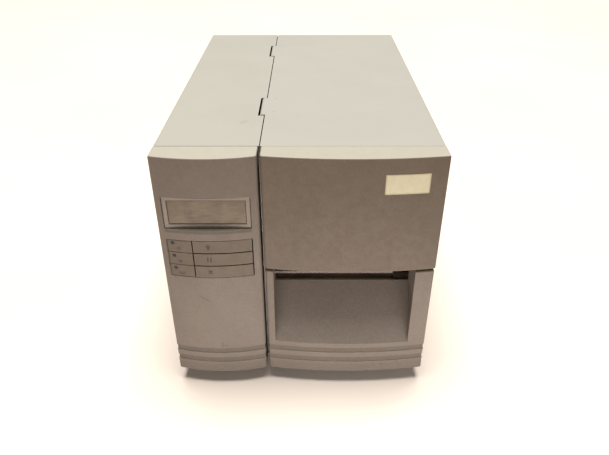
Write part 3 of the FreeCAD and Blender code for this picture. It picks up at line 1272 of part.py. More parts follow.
def upright_d(x, z, width, height, y0, y1):
    """Upright shell of a D-shaped connector."""
    w, h = width / 2, height / 2
    lean = width * 0.18
    outline = [(x - w, z - h), (x + w, z - h + lean), (x + w, z + h - lean), (x - w, z + h)]
    return prism_y(outline, y0, y1)


def port(z, width, height, reach, depth):
    """Rear connector with its plate, shell, screws and body."""
    end = height / 2 + PORT_END
    plate = box(PORT_X - PORT_RIM, PORT_X + PORT_RIM, REAR_FACE, REAR_FACE + 1, z - end, z + end)
    shell = upright_d(PORT_X, z, width, height, REAR_INSIDE - 1, reach)
    mouth = upright_d(PORT_X, z, width - 1.6, height - 1.6, reach - 4, reach + 1)
    w, h = width / 2 - 2.4, height / 2
    tongue = box(PORT_X - w, PORT_X + w, reach - 5, reach - 1, z - h + 4, z + h - 4)
    body = box(PORT_X - 6, BOARD_X1 - BOARD_SHEET, REAR_INSIDE - depth, REAR_INSIDE - 0.5, z - h, z + h)
    nuts = [rod_y(PORT_X, z + s * (h + 4.5), 2.4, REAR_FACE, REAR_FACE + 6) for s in (-1, 1)]
    return fuse(plate, shell.cut(mouth), tongue, body, *nuts)


def serial_port():
    """Nine-way serial connector."""
    return port(SERIAL_Z, SERIAL_WIDTH, SERIAL_HEIGHT, REAR_FACE + SERIAL_REACH, SERIAL_DEPTH)


def parallel_port():
    """Wide parallel connector."""
    return port(PARALLEL_Z, PARALLEL_WIDTH, PARALLEL_HEIGHT, REAR + REAR_REACH, PARALLEL_DEPTH)


def rear_panel():
    """Back sheet with its sockets, air slots and the fan-fold slot."""
    x0, x1 = LEFT + SHEET + FIT_GAP, RIGHT - SHEET - MOVE_GAP
    sheet = box(x0, x1, REAR_INSIDE, REAR_FACE, FLOOR, TOP - SHEET - MOVE_GAP)
    y0, y1 = REAR_INSIDE - 1, REAR_FACE + 1
    w, h = INLET_WIDTH / 2 + FIT_GAP, INLET_HEIGHT / 2 + FIT_GAP
    openings = [box(INLET_X - w, INLET_X + w, y0, y1, INLET_Z - h, INLET_Z + h)]
    a, b, c, d = rocker_space(ROCKER_WALL + FIT_GAP)
    openings.append(box(a, b, y0, y1, c, d))
    ports = ((SERIAL_Z, SERIAL_WIDTH, SERIAL_HEIGHT), (PARALLEL_Z, PARALLEL_WIDTH, PARALLEL_HEIGHT))
    for z, width, height in ports:
        openings.append(upright_d(PORT_X, z, width + 2 * FIT_GAP, height + 2 * FIT_GAP, y0, y1))
    slot_x = WALL_X1 + 12
    slot_z = BOTTOM + FANFOLD_BASE
    slot_end, slot_top = slot_x + FANFOLD_WIDTH, slot_z + FANFOLD_HEIGHT
    openings.append(rounded_block(slot_x, slot_end, y0, y1, slot_z, slot_top, 4.0, "y"))
    for k in range(9):
        z = BOTTOM + 96 + 12 * k
        openings.append(rounded_block(LEFT + 14, LEFT + 44, y0, y1, z, z + 4, 1.9, "y"))
    return sheet.cut(openings)


def rear_screws():
    """Cross-head screws in the back sheet and the left cover's lip."""
    places = [(x, REAR_FACE, BOTTOM + 9) for x in (LEFT + 10, SEAM - 12, SEAM + 14, RIGHT - 12)]
    places += [(x, REAR_FACE, TOP - 24) for x in (LEFT + 10, SEAM + 14, RIGHT - 12)]
    places += [(x, REAR, TOP - SHEET - 3.4) for x in (LEFT + 16, SEAM - 16)]
    screws = []
    for x, y, z in places:
        head = rod_y(x, z, SCREW_HEAD, y, y + SCREW_HEIGHT)
        rim = [e for e in head.Edges if abs(e.CenterOfMass.y - y - SCREW_HEIGHT) < 1e-6]
        head = head.makeFillet(0.8, rim)
        cross = [box(x - a, x + a, y + 0.8, y + 3, z - b, z + b) for a, b in ((1.9, 0.35), (0.35, 1.9))]
        screws.append(head.cut(cross))
    return group(screws)


def build():
    """Every piece by its node name."""
    spans = knuckle_spans()
    pieces = {
        "base_tray": base_tray(),
        "rubber_feet": rubber_feet(),
        "centre_wall": centre_wall(),
        "rear_panel": rear_panel(),
        "rear_screws": rear_screws(),
        "left_cover": left_cover(),
        "left_front_panel": left_front_panel(),
        "lower_front_panel": lower_front_panel(),
        "name_badge": name_badge(),
        "indicator_panel": indicator_panel(),
        "indicator_lenses": indicator_lenses(),
        "panel_board": panel_board(),
        "key_pivot_rod": rod_z(ROD_X, ROD_Y, KEY_ROD, KEY_Z0 - 5, KEY_Z1 + 5),
        "hinge_brackets": group(hinge_bracket(y0, y1) for y0, y1 in spans),
        "hinge_pins": group(hinge_pin(y0, y1) for y0, y1 in spans),
        "media_cover": media_cover(),
        "cover_front_bezel": cover_front_bezel(),
        "outboard_plate": outboard_plate(),
        "cross_rods": cross_rods(),
        "tear_bar": tear_bar(),
        "platen_bushes": platen_bushes(),
        "platen_shaft": platen_shaft(),
        "platen_rubber": platen_rubber(),
        "platen_gear": platen_gear(),
        "idler_gear": idler_gear(),
        "idler_shaft": idler_shaft(),
        "motor_bracket": motor_bracket(),
        "pillars": pillars(),
        "stepper_motor": stepper_motor(),
        "motor_pinion": motor_pinion(),
        "drive_belt": drive_belt(),
        "rewind_pulley": rewind_pulley(),
        "rewind_spindle": ribbon_spindle(REWIND_Y, REWIND_Z, PULLEY_X0 - 2),
        "supply_spindle": ribbon_spindle(SUPPLY_Y, SUPPLY_Z, WALL_X0 - SUPPLY_INBOARD),
        "spindle_bushes": spindle_bushes(),
        "brake_spring": brake_spring(),
        "brake_nut": brake_nut(),
        "head_pivot_shaft": head_pivot_shaft(),
        "head_bracket": head_bracket(),
        "head_heat_sink": head_heat_sink(),
        "thermal_head": thermal_head(),
        "lever_shaft": lever_shaft(),
        "head_lever": head_lever(),
        "media_path_plate": media_path_plate(),
        "media_edge_guide": media_edge_guide(),
        "gap_sensor": gap_sensor(),
        "guide_roller": guide_roller(),
        "media_hanger": media_hanger(),
        "roll_guide": roll_guide(),
        "main_board": main_board(),
        "power_supply": power_supply(),
        "power_inlet": power_inlet(),
        "rocker_frame": rocker_frame(),
        "power_rocker": power_rocker(),
        "serial_port": serial_port(),
        "parallel_port": parallel_port(),
    }
    for row, name in enumerate(KEY_NAMES):
        pieces[name] = control_key(row)
    return pieces


os.makedirs("parts", exist_ok=True)
for node, shape in build().items():
    shape.exportStep("parts/%s.step" % node)
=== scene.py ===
"""Looks of the thermal label printer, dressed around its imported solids.

Everything is in metres in the part's own frame: +X is the printer's right, +Y its back, +Z is up.
"""
from __future__ import annotations

import json
import logging
import math
from collections.abc import Callable, Iterable, Sequence
from dataclasses import dataclass, replace
from enum import Enum

import bpy
import numpy as np
from mathutils import Matrix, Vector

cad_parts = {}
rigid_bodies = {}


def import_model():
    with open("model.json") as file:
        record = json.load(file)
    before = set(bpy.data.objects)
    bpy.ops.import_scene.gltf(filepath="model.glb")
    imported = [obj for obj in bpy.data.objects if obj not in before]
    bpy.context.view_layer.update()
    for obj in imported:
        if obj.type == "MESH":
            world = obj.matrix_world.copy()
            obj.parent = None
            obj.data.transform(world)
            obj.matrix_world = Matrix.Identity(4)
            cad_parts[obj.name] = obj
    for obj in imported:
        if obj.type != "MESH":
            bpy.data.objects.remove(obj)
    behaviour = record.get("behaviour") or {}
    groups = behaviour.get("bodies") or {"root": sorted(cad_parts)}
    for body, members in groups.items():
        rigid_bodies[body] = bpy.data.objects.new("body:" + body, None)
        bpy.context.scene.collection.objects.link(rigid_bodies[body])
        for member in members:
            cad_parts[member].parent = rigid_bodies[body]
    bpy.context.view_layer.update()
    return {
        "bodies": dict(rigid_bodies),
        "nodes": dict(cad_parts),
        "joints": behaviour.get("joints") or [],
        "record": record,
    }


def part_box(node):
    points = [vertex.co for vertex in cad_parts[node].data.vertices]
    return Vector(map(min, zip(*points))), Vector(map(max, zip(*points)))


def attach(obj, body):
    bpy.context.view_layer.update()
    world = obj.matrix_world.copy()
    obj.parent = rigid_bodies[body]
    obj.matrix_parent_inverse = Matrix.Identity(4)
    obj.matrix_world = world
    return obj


LOG = logging.getLogger("label_printer")
MM = 0.001
SHARP_ANGLE = math.radians(32)

# A Mix node's colour sockets share their names with its other sockets, so they are taken by place.
MIX_FIRST = 6
MIX_SECOND = 7
MIX_RESULT = 2

Pair = tuple[float, float]
Point = tuple[float, float, float]
Colour = tuple[float, float, float]
Socket = bpy.types.NodeSocket
Feed = Socket | float | Sequence[float]
Frame = dict[str, object]
Wrap = Callable[[np.ndarray, np.ndarray, float], np.ndarray]


class Axis(Enum):
    """Direction of grain, brushing or an outward face."""

    X = 0
    Y = 1
    Z = 2


# Surfaces


@dataclass
class Skin:
    """Points, four-sided faces and three-sided faces of closed surfaces."""

    points: np.ndarray
    quads: np.ndarray
    tris: np.ndarray

    def turned_out(self) -> Skin:
        """The same surface with its faces pointing outwards.

        The signed volume under all faces is added up, and a negative sum turns every face round.

        Returns:
            The surface, turned where needed.
        """
        halves = np.concatenate([self.quads[:, [0, 1, 2]], self.quads[:, [0, 2, 3]], self.tris])
        a, b, c = (self.points[halves[:, corner]] for corner in range(3))
        if np.einsum("ij,ij->", a, np.cross(b, c)) >= 0:
            return self
        return Skin(self.points, self.quads[:, ::-1], self.tris[:, ::-1])

    @staticmethod
    def joined(parts: Iterable[Skin]) -> Skin:
        """Several surfaces as one.

        Args:
            parts: Surfaces to put together.

        Returns:
            One surface that holds them all.
        """
        skins = list(parts)
        starts = np.cumsum([0] + [len(skin.points) for skin in skins[:-1]])
        points = np.concatenate([skin.points for skin in skins])
        quads = np.concatenate([skin.quads + start for skin, start in zip(skins, starts)])
        tris = np.concatenate([skin.tris + start for skin, start in zip(skins, starts)])
        return Skin(points, quads, tris)


def ring_quads(rings: int, count: int, closed: bool, base: int) -> np.ndarray:
    """Faces between rings of points, each ring closed on itself.

    Args:
        rings: How many rings there are.
        count: How many points are in a ring.
        closed: Whether the last ring joins the first.
        base: Number of the first ring's first point.

    Returns:
        Corner numbers of the four-sided faces, faces by four.
    """
    rows = np.arange(rings if closed else rings - 1)[:, None]
    columns = np.arange(count)[None, :]
    after = (columns + 1) % count
    below = (rows + 1) % rings
    corners = (rows * count + columns, rows * count + after, below * count + after, below * count + columns)
    return np.stack(np.broadcast_arrays(*corners), axis=-1).reshape(-1, 4) + base


def capped_skin(rings: np.ndarray, start: np.ndarray, end: np.ndarray) -> Skin:
    """Closed surface from one pole over rings of points to another pole.

    Args:
        rings: Array of rings by points by three.
        start: Pole before the first ring.
        end: Pole after the last ring.

    Returns:
        The surface, faces outwards.
    """
    count = rings.shape[1]
    points = np.concatenate([start[None, :], rings.reshape(-1, 3), end[None, :]])
    spot = np.arange(count)
    after = (spot + 1) % count
    last = 1 + (rings.shape[0] - 1) * count
    first_fan = np.stack([np.zeros(count, int), 1 + after, 1 + spot], axis=-1)
    last_fan = np.stack([np.full(count, len(points) - 1), last + spot, last + after], axis=-1)
    quads = ring_quads(rings.shape[0], count, False, 1)
    return Skin(points, quads, np.concatenate([first_fan, last_fan])).turned_out()


def hoop_skin(rings: np.ndarray) -> Skin:
    """Closed surface whose rings, given as rings by points by three, come round to the first again."""
    quads = ring_quads(rings.shape[0], rings.shape[1], True, 0)
    return Skin(rings.reshape(-1, 3), quads, np.empty((0, 3), int)).turned_out()


def circle(turns: int) -> np.ndarray:
    """Points (cos t, sin t) of a circle of radius one, at equal steps of t, points by two."""
    turn = np.arange(turns) * 2 * math.pi / turns
    return np.stack([np.cos(turn), np.sin(turn)], axis=-1)


def centred(count: int, pitch: float) -> np.ndarray:
    """Places about nought on a line, a pitch apart."""
    return (np.arange(count) - (count - 1) / 2) * pitch


def stepped(outline: np.ndarray, step: float) -> np.ndarray:
    """Closed outline with points added so that none is further than a step from the next.

    Args:
        outline: Corners in order, points by two.
        step: Longest gap between points.

    Returns:
        Array of points by two.
    """
    runs = []
    for start, end in zip(outline, np.roll(outline, -1, axis=0)):
        parts = max(1, math.ceil(float(np.linalg.norm(end - start)) / step))
        share = np.arange(parts)[:, None] / parts
        runs.append(start + (end - start) * share)
    return np.concatenate(runs)


def round_corners(width: float, height: float, radius: float, arc: int = 6) -> np.ndarray:
    """Oblong with round corners, as an outline about its middle.

    Args:
        width: Size across.
        height: Size up.
        radius: Radius of the corners.
        arc: Steps in each corner.

    Returns:
        Outline points by two, anticlockwise.
    """
    middle = np.array([(1, 1), (-1, 1), (-1, -1), (1, -1)]) * (width / 2 - radius, height / 2 - radius)
    turn = np.linspace(0, math.pi / 2, arc + 1)[None, :] + (np.arange(4) * math.pi / 2)[:, None]
    x = middle[:, 0, None] + radius * np.cos(turn)
    z = middle[:, 1, None] + radius * np.sin(turn)
    return np.stack([x, z], axis=-1).reshape(-1, 2)


def inlay(outline: np.ndarray, wrap: Wrap, lift: float, sink: float, rows: int) -> Skin:
    """Thin patch inside an outline, laid on a face.

    The top is the outline drawn in towards its middle in equal shares, the bottom the same shares back.

    Args:
        outline: Points by two, seen from the outline's own middle without hiding one another.
        wrap: Turns flat places and a height into points on the face.
        lift: Height of the top over the face.
        sink: Depth of the bottom under the face.
        rows: Rings on the top.

    Returns:
        The patch as a closed surface.
    """
    middle = (outline.min(axis=0) + outline.max(axis=0)) / 2
    shares = np.arange(1, rows + 1) / rows
    rings = middle + (outline - middle) * shares[:, None, None]
    back = rings[::-1]
    shell = [wrap(rings[..., 0], rings[..., 1], lift), wrap(back[..., 0], back[..., 1], -sink)]
    start, end = (wrap(middle[:1], middle[1:], height)[0] for height in (lift, -sink))
    return capped_skin(np.concatenate(shell), start, end)


def framed_inlay(outer: np.ndarray, inner: np.ndarray, wrap: Wrap, lift: float, sink: float) -> Skin:
    """Thin band between two outlines of as many points, from sink to lift about the face of a wrap."""
    order = ((inner, lift), (outer, lift), (outer, -sink), (inner, -sink))
    return hoop_skin(np.stack([wrap(line[:, 0], line[:, 1], height) for line, height in order]))


def block_skin(low: Point, high: Point, chamfer: float) -> Skin:
    """Block with its four long edges cut off, carried between its two ends along Y.

    Args:
        low: Lowest corner.
        high: Highest corner.
        chamfer: Width of the cut edges, and how far the end at +Y is drawn in.

    Returns:
        The block as a closed surface.
    """
    (x0, y0, z0), (x1, y1, z1) = low, high
    size = np.array([x1 - x0, z1 - z0])
    middle = np.array([(x0 + x1) / 2, (z0 + z1) / 2])
    outline = round_corners(size[0], size[1], chamfer, 1)
    smaller = outline * (1 - 2 * chamfer / size)
    rings = []
    for section, y in ((outline, y0), (outline, y1 - chamfer), (smaller, y1)):
        x, z = (section + middle).T
        rings.append(np.stack([x, np.full_like(x, y), z], axis=-1))
    start, end = (np.array([middle[0], y, middle[1]]) for y in (y0, y1))
    return capped_skin(np.stack(rings), start, end)


@dataclass(frozen=True)
class FrontBow:
    """Level arc that a front panel follows from side to side."""

    middle: float
    apex: float
    radius: float

    @classmethod
    def of_node(cls, node: str, rise: float) -> FrontBow:
        """Arc of a panel, from its node's box.

        Args:
            node: Name of the panel's node.
            rise: How far the middle stands out from the sides.

        Returns:
            The arc.
        """
        low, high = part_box(node)
        half = (high.x - low.x) / 2
        return cls((low.x + high.x) / 2, low.y, (half * half + rise * rise) / (2 * rise))

    def wrap(self, inset: float) -> Wrap:
        """Function that lays flat places on the arc, set in by some depth.

        Args:
            inset: Depth under the panel's own face.

        Returns:
            Function of X, Z and height over that face.
        """

        def laid(x: np.ndarray, z: np.ndarray, height: float) -> np.ndarray:
            """Points at Y = centre - sqrt(r^2 - (x - middle)^2), with r grown by the height.

            Args:
                x: Places across.
                z: Places up.
                height: Height over the face.

            Returns:
                Array of points by three.
            """
            reach = self.radius - inset + height
            y = self.apex + self.radius - np.sqrt(reach**2 - (x - self.middle) ** 2)
            return np.stack([x, y, z], axis=-1)

        return laid


@dataclass(frozen=True)
class FlatFace:
    """Flat face: a place on it, the directions across and up it, and the way it looks."""

    place: Point
    across: Point
    up: Point
    out: Point

    def wrap(self, a: np.ndarray, b: np.ndarray, height: float) -> np.ndarray:
        """Points at place + a across + b up + height out."""
        place, across, up, out = (np.array(part) for part in (self.place, self.across, self.up, self.out))
        return place + a[..., None] * across + b[..., None] * up + height * out


# Materials


@dataclass(frozen=True)
class Pattern:
    """Cloudy pattern: size of a patch, finer layers, and where its value starts, is full and goes."""

    size: float
    detail: float = 3.0
    start: float = 0.3
    full: float = 0.7
    low: float = 0.0
    high: float = 1.0
    stretch: Point | None = None

    @classmethod
    def about(cls, size: float, value: float, reach: Pair) -> Pattern:
        """Pattern that drifts under and over a value by a reach each way."""
        return cls(size, low=value - reach[0], high=value + reach[1])

    def streaks(self, axis: Axis, factor: float) -> Pattern:
        """The same pattern, drawn out along one axis."""
        return replace(self, stretch=tuple(factor if other is axis else 1.0 for other in Axis))


@dataclass(frozen=True)
class Wear:
    """Rubbing along edges, or painted shade and dirt in corners: its reach, its strength, and where it
    starts and is full.
    """

    reach: float
    strength: float
    start: float = 0.03
    full: float = 0.3


@dataclass(frozen=True)
class Mark:
    """Small stroke worn or rubbed into a face."""

    face: Axis
    start: Point
    end: Point
    reach: float
    strength: float
    core: float = 0.35


@dataclass(frozen=True)
class Patch:
    """Block of space where a surface is painted darker than the rest."""

    low: Point
    high: Point
    soft: float
    strength: float


class NodeSheet:
    """Node tree of one material, with the few patterns that the finishes share."""

    edge_samples: int = 4
    corner_samples: int = 6
    up_start: float = 0.6
    up_full: float = 0.95

    def __init__(self, name: str) -> None:
        """Start a tree with a shader and object coordinates.

        Args:
            name: Name of the material.
        """
        self.material = bpy.data.materials.new(name)
        self.material.use_nodes = True
        self.tree = self.material.node_tree
        self.tree.nodes.clear()
        self.shader = self.node("ShaderNodeBsdfPrincipled")
        self.node("ShaderNodeOutputMaterial", Surface=self.shader.outputs["BSDF"])
        coordinates = self.node("ShaderNodeTexCoord")
        self.place = coordinates.outputs["Object"]
        self.facing = coordinates.outputs["Normal"]

    def feed(self, target: Socket, value: Feed) -> None:
        """Link a socket to a target, or set the target's own number or colour.

        Args:
            target: Input to feed.
            value: Socket to link, or a number, vector or colour to set.
        """
        if isinstance(value, bpy.types.NodeSocket):
            self.tree.links.new(value, target)
        elif isinstance(value, (int, float)):
            target.default_value = value
        elif len(target.default_value) == len(value):
            target.default_value = value
        else:
            target.default_value = (*value, 1.0)

    def node(self, kind: str, *placed: Feed, **named: Feed | str) -> bpy.types.Node:
        """New node, with its settings made and its inputs fed.

        Args:
            kind: The node's type.
            placed: What goes into its inputs, in order.
            named: Its settings, in small letters, and its named inputs, which start with a capital.

        Returns:
            The node.
        """
        node = self.tree.nodes.new(kind)
        for name, value in named.items():
            if name.islower():
                setattr(node, name, value)
            else:
                self.feed(node.inputs[name.replace("_", " ")], value)
        for place, value in enumerate(placed):
            self.feed(node.inputs[place], value)
        return node

    def out(self, output: str | int, kind: str, *placed: Feed, **named: Feed | str) -> Socket:
        """One output of a new node."""
        return self.node(kind, *placed, **named).outputs[output]

    def set(self, **inputs: Feed) -> None:
        """Feed the shader's inputs, named with underscores for spaces."""
        for name, value in inputs.items():
            self.feed(self.shader.inputs[name.replace("_", " ")], value)

    def stretched(self, stretch: Sequence[float]) -> Socket:
        """Object coordinates scaled by a factor on each axis."""
        return self.out("Vector", "ShaderNodeMapping", Vector=self.place, Scale=stretch)

    def noise(self, pattern: Pattern) -> Socket:
        """Cloudy noise around one half, with the size, layers and stretch of a pattern."""
        place = self.stretched(pattern.stretch) if pattern.stretch else self.place
        return self.out("Fac", "ShaderNodeTexNoise", place, Scale=1.0 / pattern.size, Detail=pattern.detail)

    def spread(self, value: Socket, pattern: Pattern) -> Socket:
        """Value carried between a pattern's low and high."""
        return self.span(value, pattern.start, pattern.full, pattern.low, pattern.high)

    def cloud(self, pattern: Pattern) -> Socket:
        """Noise of a pattern, carried between its low and high."""
        return self.spread(self.noise(pattern), pattern)

    def cells(self, size: float) -> Socket:
        """Random grey of cells about the given size."""
        cells = self.out("Color", "ShaderNodeTexVoronoi", self.place, Scale=1.0 / size)
        return self.out("Red", "ShaderNodeSeparateColor", cells)

    def span(self, value: Socket, start: float, end: float, low: float = 0.0, high: float = 1.0) -> Socket:
        """Value carried smoothly from low to high between start and end."""
        ends = {"From_Min": start, "From_Max": end, "To_Min": low, "To_Max": high}
        return self.out("Result", "ShaderNodeMapRange", value, interpolation_type="SMOOTHSTEP", **ends)

    def maths(self, operation: str, first: Socket | float, second: Socket | float) -> Socket:
        """Result of one operation on two values, kept between nought and one."""
        return self.out("Value", "ShaderNodeMath", first, second, operation=operation, use_clamp=True)

    def times(self, first: Socket, *others: Socket | float) -> Socket:
        """Product of values, kept between nought and one after each step.

        Args:
            first: First value.
            others: What it is multiplied by, in order.

        Returns:
            The product.
        """
        for other in others:
            first = self.maths("MULTIPLY", first, other)
        return first

    def vector(self, operation: str, *vectors: Socket | Sequence[float]) -> bpy.types.Node:
        """Node of one operation on one or two vectors."""
        return self.node("ShaderNodeVectorMath", *vectors, operation=operation)

    def mix(self, share: Socket, first: Socket | Colour, second: Socket | Colour) -> Socket:
        """Colour between two colours.

        Args:
            share: How much of the second there is.
            first: First colour.
            second: Second colour.

        Returns:
            The mixed colour.
        """
        node = self.node("ShaderNodeMix", data_type="RGBA", Factor=share)
        self.feed(node.inputs[MIX_FIRST], first)
        self.feed(node.inputs[MIX_SECOND], second)
        return node.outputs[MIX_RESULT]

    def bump(self, height: Socket, depth: float) -> Socket:
        """Normal of a surface with small heights, where a height of one stands for the depth."""
        return self.out("Normal", "ShaderNodeBump", Distance=depth, Height=height)

    def fallen(self, value: Socket, wear: Wear) -> Socket:
        """How far a value has fallen from one, carried up to a wear's strength."""
        share = self.span(self.maths("SUBTRACT", 1.0, value), wear.start, wear.full)
        return self.times(share, wear.strength)

    def rubbed(self, wear: Wear) -> Socket:
        """How far an edge is rubbed, from the normal's product with the normal over a small radius.

        Args:
            wear: Radius, strength, and where the rubbing starts and is full.

        Returns:
            Value between nought and the strength.
        """
        soft = self.out("Normal", "ShaderNodeBevel", samples=self.edge_samples, Radius=wear.reach)
        sharp = self.out("Normal", "ShaderNodeNewGeometry")
        return self.fallen(self.vector("DOT_PRODUCT", soft, sharp).outputs["Value"], wear)

    def hollow_shade_and_dirt(self, wear: Wear) -> Socket:
        """How dark the corners and grooves of the piece itself are made, from its ambient occlusion:
        painted shade, and dirt settled there.
        """
        settings = {"samples": self.corner_samples, "only_local": True, "Distance": wear.reach}
        return self.fallen(self.out("AO", "ShaderNodeAmbientOcclusion", **settings), wear)

    def along(self, axis: Axis) -> Socket:
        """Object coordinate on one axis."""
        return self.out(axis.value, "ShaderNodeSeparateXYZ", self.place)

    def upward(self) -> Socket:
        """How far the surface faces up while the piece is at rest, so that dust and painted light on upward
        faces ride with it.
        """
        rise = self.out("Z", "ShaderNodeSeparateXYZ", self.facing)
        return self.span(rise, self.up_start, self.up_full)

    def inside(self, axis: Axis, low: float, high: float, soft: float) -> Socket:
        """One between two planes on an axis, falling to nought over a soft edge outside them."""
        value = self.along(axis)
        return self.times(self.span(value, low - soft, low), self.span(value, high + soft, high))

    def upright(self, low: Pair, high: Pair, margin: float, soft: float) -> Socket:
        """One in an upright oblong, across X and up Z, drawn in by a margin, with a soft edge."""
        sides = zip((Axis.X, Axis.Z), low, high)
        return self.times(*[self.inside(axis, a + margin, b - margin, soft) for axis, a, b in sides])

    def within(self, patch: Patch) -> Socket:
        """One inside a patch's block, falling to nought over its soft edge."""
        sides = zip(Axis, patch.low, patch.high)
        return self.times(*[self.inside(axis, low, high, patch.soft) for axis, low, high in sides])

    def near(self, mark: Mark) -> Socket:
        """One on a mark's line, falling to nought at its reach.

        The share along the line is clamped to its ends, and the distance is measured to that place,
        leaving out the axis that the marked face looks along.

        Args:
            mark: Line, reach and the face's axis.

        Returns:
            Value between nought and one.
        """
        keep = np.ones(3)
        keep[mark.face.value] = 0.0
        start = np.asarray(mark.start) * keep
        run = np.subtract(mark.end, mark.start) * keep
        off = self.vector("SUBTRACT", self.stretched(keep.tolist()), start.tolist()).outputs["Vector"]
        share = self.vector("DOT_PRODUCT", off, (run / float(run @ run)).tolist()).outputs["Value"]
        scaled = self.vector("SCALE", run.tolist())
        # Adding nought clamps the share.
        self.feed(scaled.inputs["Scale"], self.maths("ADD", share, 0.0))
        rest = self.vector("SUBTRACT", off, scaled.outputs["Vector"]).outputs["Vector"]
        distance = self.vector("LENGTH", rest).outputs["Value"]
        return self.span(distance, mark.reach, mark.reach * mark.core)

    def marked(self, colour: Socket, marks: Iterable[Mark], ink: Colour) -> Socket:
        """Colour with marks on it.

        Args:
            colour: Colour under the marks.
            marks: The marks.
            ink: Colour of the marks.

        Returns:
            The marked colour.
        """
        for mark in marks:
            colour = self.mix(self.times(self.near(mark), mark.strength), colour, ink)
        return colour


@dataclass(frozen=True)
class Finish:
    """Name and main colour of a finish."""

    name: str
    colour: Colour

    def shaded(self, factor: float) -> Colour:
        """The main colour, lighter or darker by a factor."""
        return tuple(min(1.0, part * factor) for part in self.colour)

    def clouded(self, sheet: NodeSheet, share: Socket, shades: Pair) -> Socket:
        """The main colour, drifting between two shades of it."""
        return sheet.mix(share, self.shaded(shades[0]), self.shaded(shades[1]))

    def paint(self, sheet: NodeSheet) -> None:
        """Feed the shader of this finish."""
        raise NotImplementedError

    def material(self) -> bpy.types.Material:
        """New material of this finish.

        Returns:
            The material.
        """
        sheet = NodeSheet(self.name)
        self.paint(sheet)
        return sheet.material


@dataclass(frozen=True)
class PaintedSheet(Finish):
    """Powder coat on folded sheet: fine orange peel, faint clouds, rubbed edges, a few specks."""

    worn: Colour = (0.46, 0.445, 0.41)
    speck: Colour = (0.10, 0.09, 0.075)
    marks: tuple[Mark, ...] = ()
    clouds: Pattern = Pattern(70 * MM)
    cloud_shades: Pair = (0.98, 1.01)
    smears: Pattern = Pattern(28 * MM, 4.0, 0.55, 0.75, high=0.05, stretch=(1.0, 0.35, 1.0))
    smear_shade: float = 0.9
    specks: Pattern = Pattern(1.6 * MM, 1.0, 0.76, 0.82, high=0.3)
    rub: Wear = Wear(0.9 * MM, 0.55, 0.02, 0.25)
    sheen: Pattern = Pattern(9 * MM, low=0.6, high=0.66)
    specular: float = 0.22
    peel: Pattern = Pattern(0.9 * MM, 2.0)
    peel_depth: float = 0.05 * MM

    def paint(self, sheet: NodeSheet) -> None:
        """Feed the shader of the coat.

        Args:
            sheet: Node tree of the coat.
        """
        colour = self.clouded(sheet, sheet.cloud(self.clouds), self.cloud_shades)
        colour = sheet.mix(sheet.cloud(self.smears), colour, self.shaded(self.smear_shade))
        colour = sheet.mix(sheet.cloud(self.specks), colour, self.speck)
        colour = sheet.mix(sheet.rubbed(self.rub), colour, self.worn)
        colour = sheet.marked(colour, self.marks, self.speck)
        sheet.set(Base_Color=colour, Roughness=sheet.cloud(self.sheen), Specular_IOR_Level=self.specular)
        sheet.set(Normal=sheet.bump(sheet.noise(self.peel), self.peel_depth))


@dataclass(frozen=True)
class MouldedPlastic(Finish):
    """Spark-textured case plastic: a tint on upward faces that is painted light on the case and painted
    shade on the keys, with some yellowing; painted shade and dirt in its hollows; darker patches; scuffs.
    """

    # Lighter tint of the upward faces: painted light, with some yellowing.
    tint: Colour = (0.375, 0.36, 0.30)
    # Dark tone for the darker patches, the painted shade and dirt in hollows, and the marks.
    dark_tone: Colour = (0.07, 0.05, 0.036)
    marks: tuple[Mark, ...] = ()
    patches: tuple[Patch, ...] = ()
    clouds: Pattern = Pattern(45 * MM)
    cloud_shades: Pair = (0.95, 1.05)
    grain: Pattern = Pattern(0.55 * MM, 2.0, 0.35, 0.65, high=0.2)
    grain_shade: float = 0.68
    grain_depth: float = 0.07 * MM
    mottle: Pattern = Pattern(2.1 * MM, 2.0, 0.38, 0.62)
    mottle_share: float = 0.26
    mottle_shade: float = 0.7
    tint_share: float = 0.85
    blotch: Pair = (0.9, 1.1)
    dirt_and_shade: Wear = Wear(4 * MM, 0.28, 0.35, 0.9)
    scuffs: Pattern = Pattern(5 * MM, 5.0, 0.66, 0.8, high=0.22, stretch=(1.0, 1.0, 0.5))
    scuff_shade: float = 0.7
    rub: Wear = Wear(1.2 * MM, 0.35)
    rub_shade: float = 1.25
    sheen: Pattern = Pattern(7 * MM, low=0.52, high=0.68)
    specular: float = 0.35

    def paint(self, sheet: NodeSheet) -> None:
        """Feed the shader of the plastic.

        Args:
            sheet: Node tree of the plastic.
        """
        colour = self.clouded(sheet, sheet.cloud(self.clouds), self.cloud_shades)
        grain = sheet.noise(self.grain)
        colour = sheet.mix(sheet.spread(grain, self.grain), colour, self.shaded(self.grain_shade))
        mottle = sheet.cloud(self.mottle)
        colour = sheet.mix(sheet.times(mottle, self.mottle_share), colour, self.shaded(self.mottle_shade))
        # Upward faces take the tint: painted light where it is lighter, painted shade where it is darker.
        colour = sheet.mix(sheet.times(sheet.upward(), self.tint_share), colour, self.tint)
        for patch in self.patches:
            blotch = sheet.span(mottle, 0.0, 1.0, *self.blotch)
            colour = sheet.mix(sheet.times(sheet.within(patch), blotch, patch.strength), colour, self.dark_tone)
        # Ambient occlusion darkens the hollows: painted shade, with dirt.
        colour = sheet.mix(sheet.hollow_shade_and_dirt(self.dirt_and_shade), colour, self.dark_tone)
        colour = sheet.mix(sheet.cloud(self.scuffs), colour, self.shaded(self.scuff_shade))
        colour = sheet.mix(sheet.rubbed(self.rub), colour, self.shaded(self.rub_shade))
        colour = sheet.marked(colour, self.marks, self.dark_tone)
        sheet.set(Base_Color=colour, Roughness=sheet.cloud(self.sheen), Specular_IOR_Level=self.specular)
        sheet.set(Normal=sheet.bump(grain, self.grain_depth))


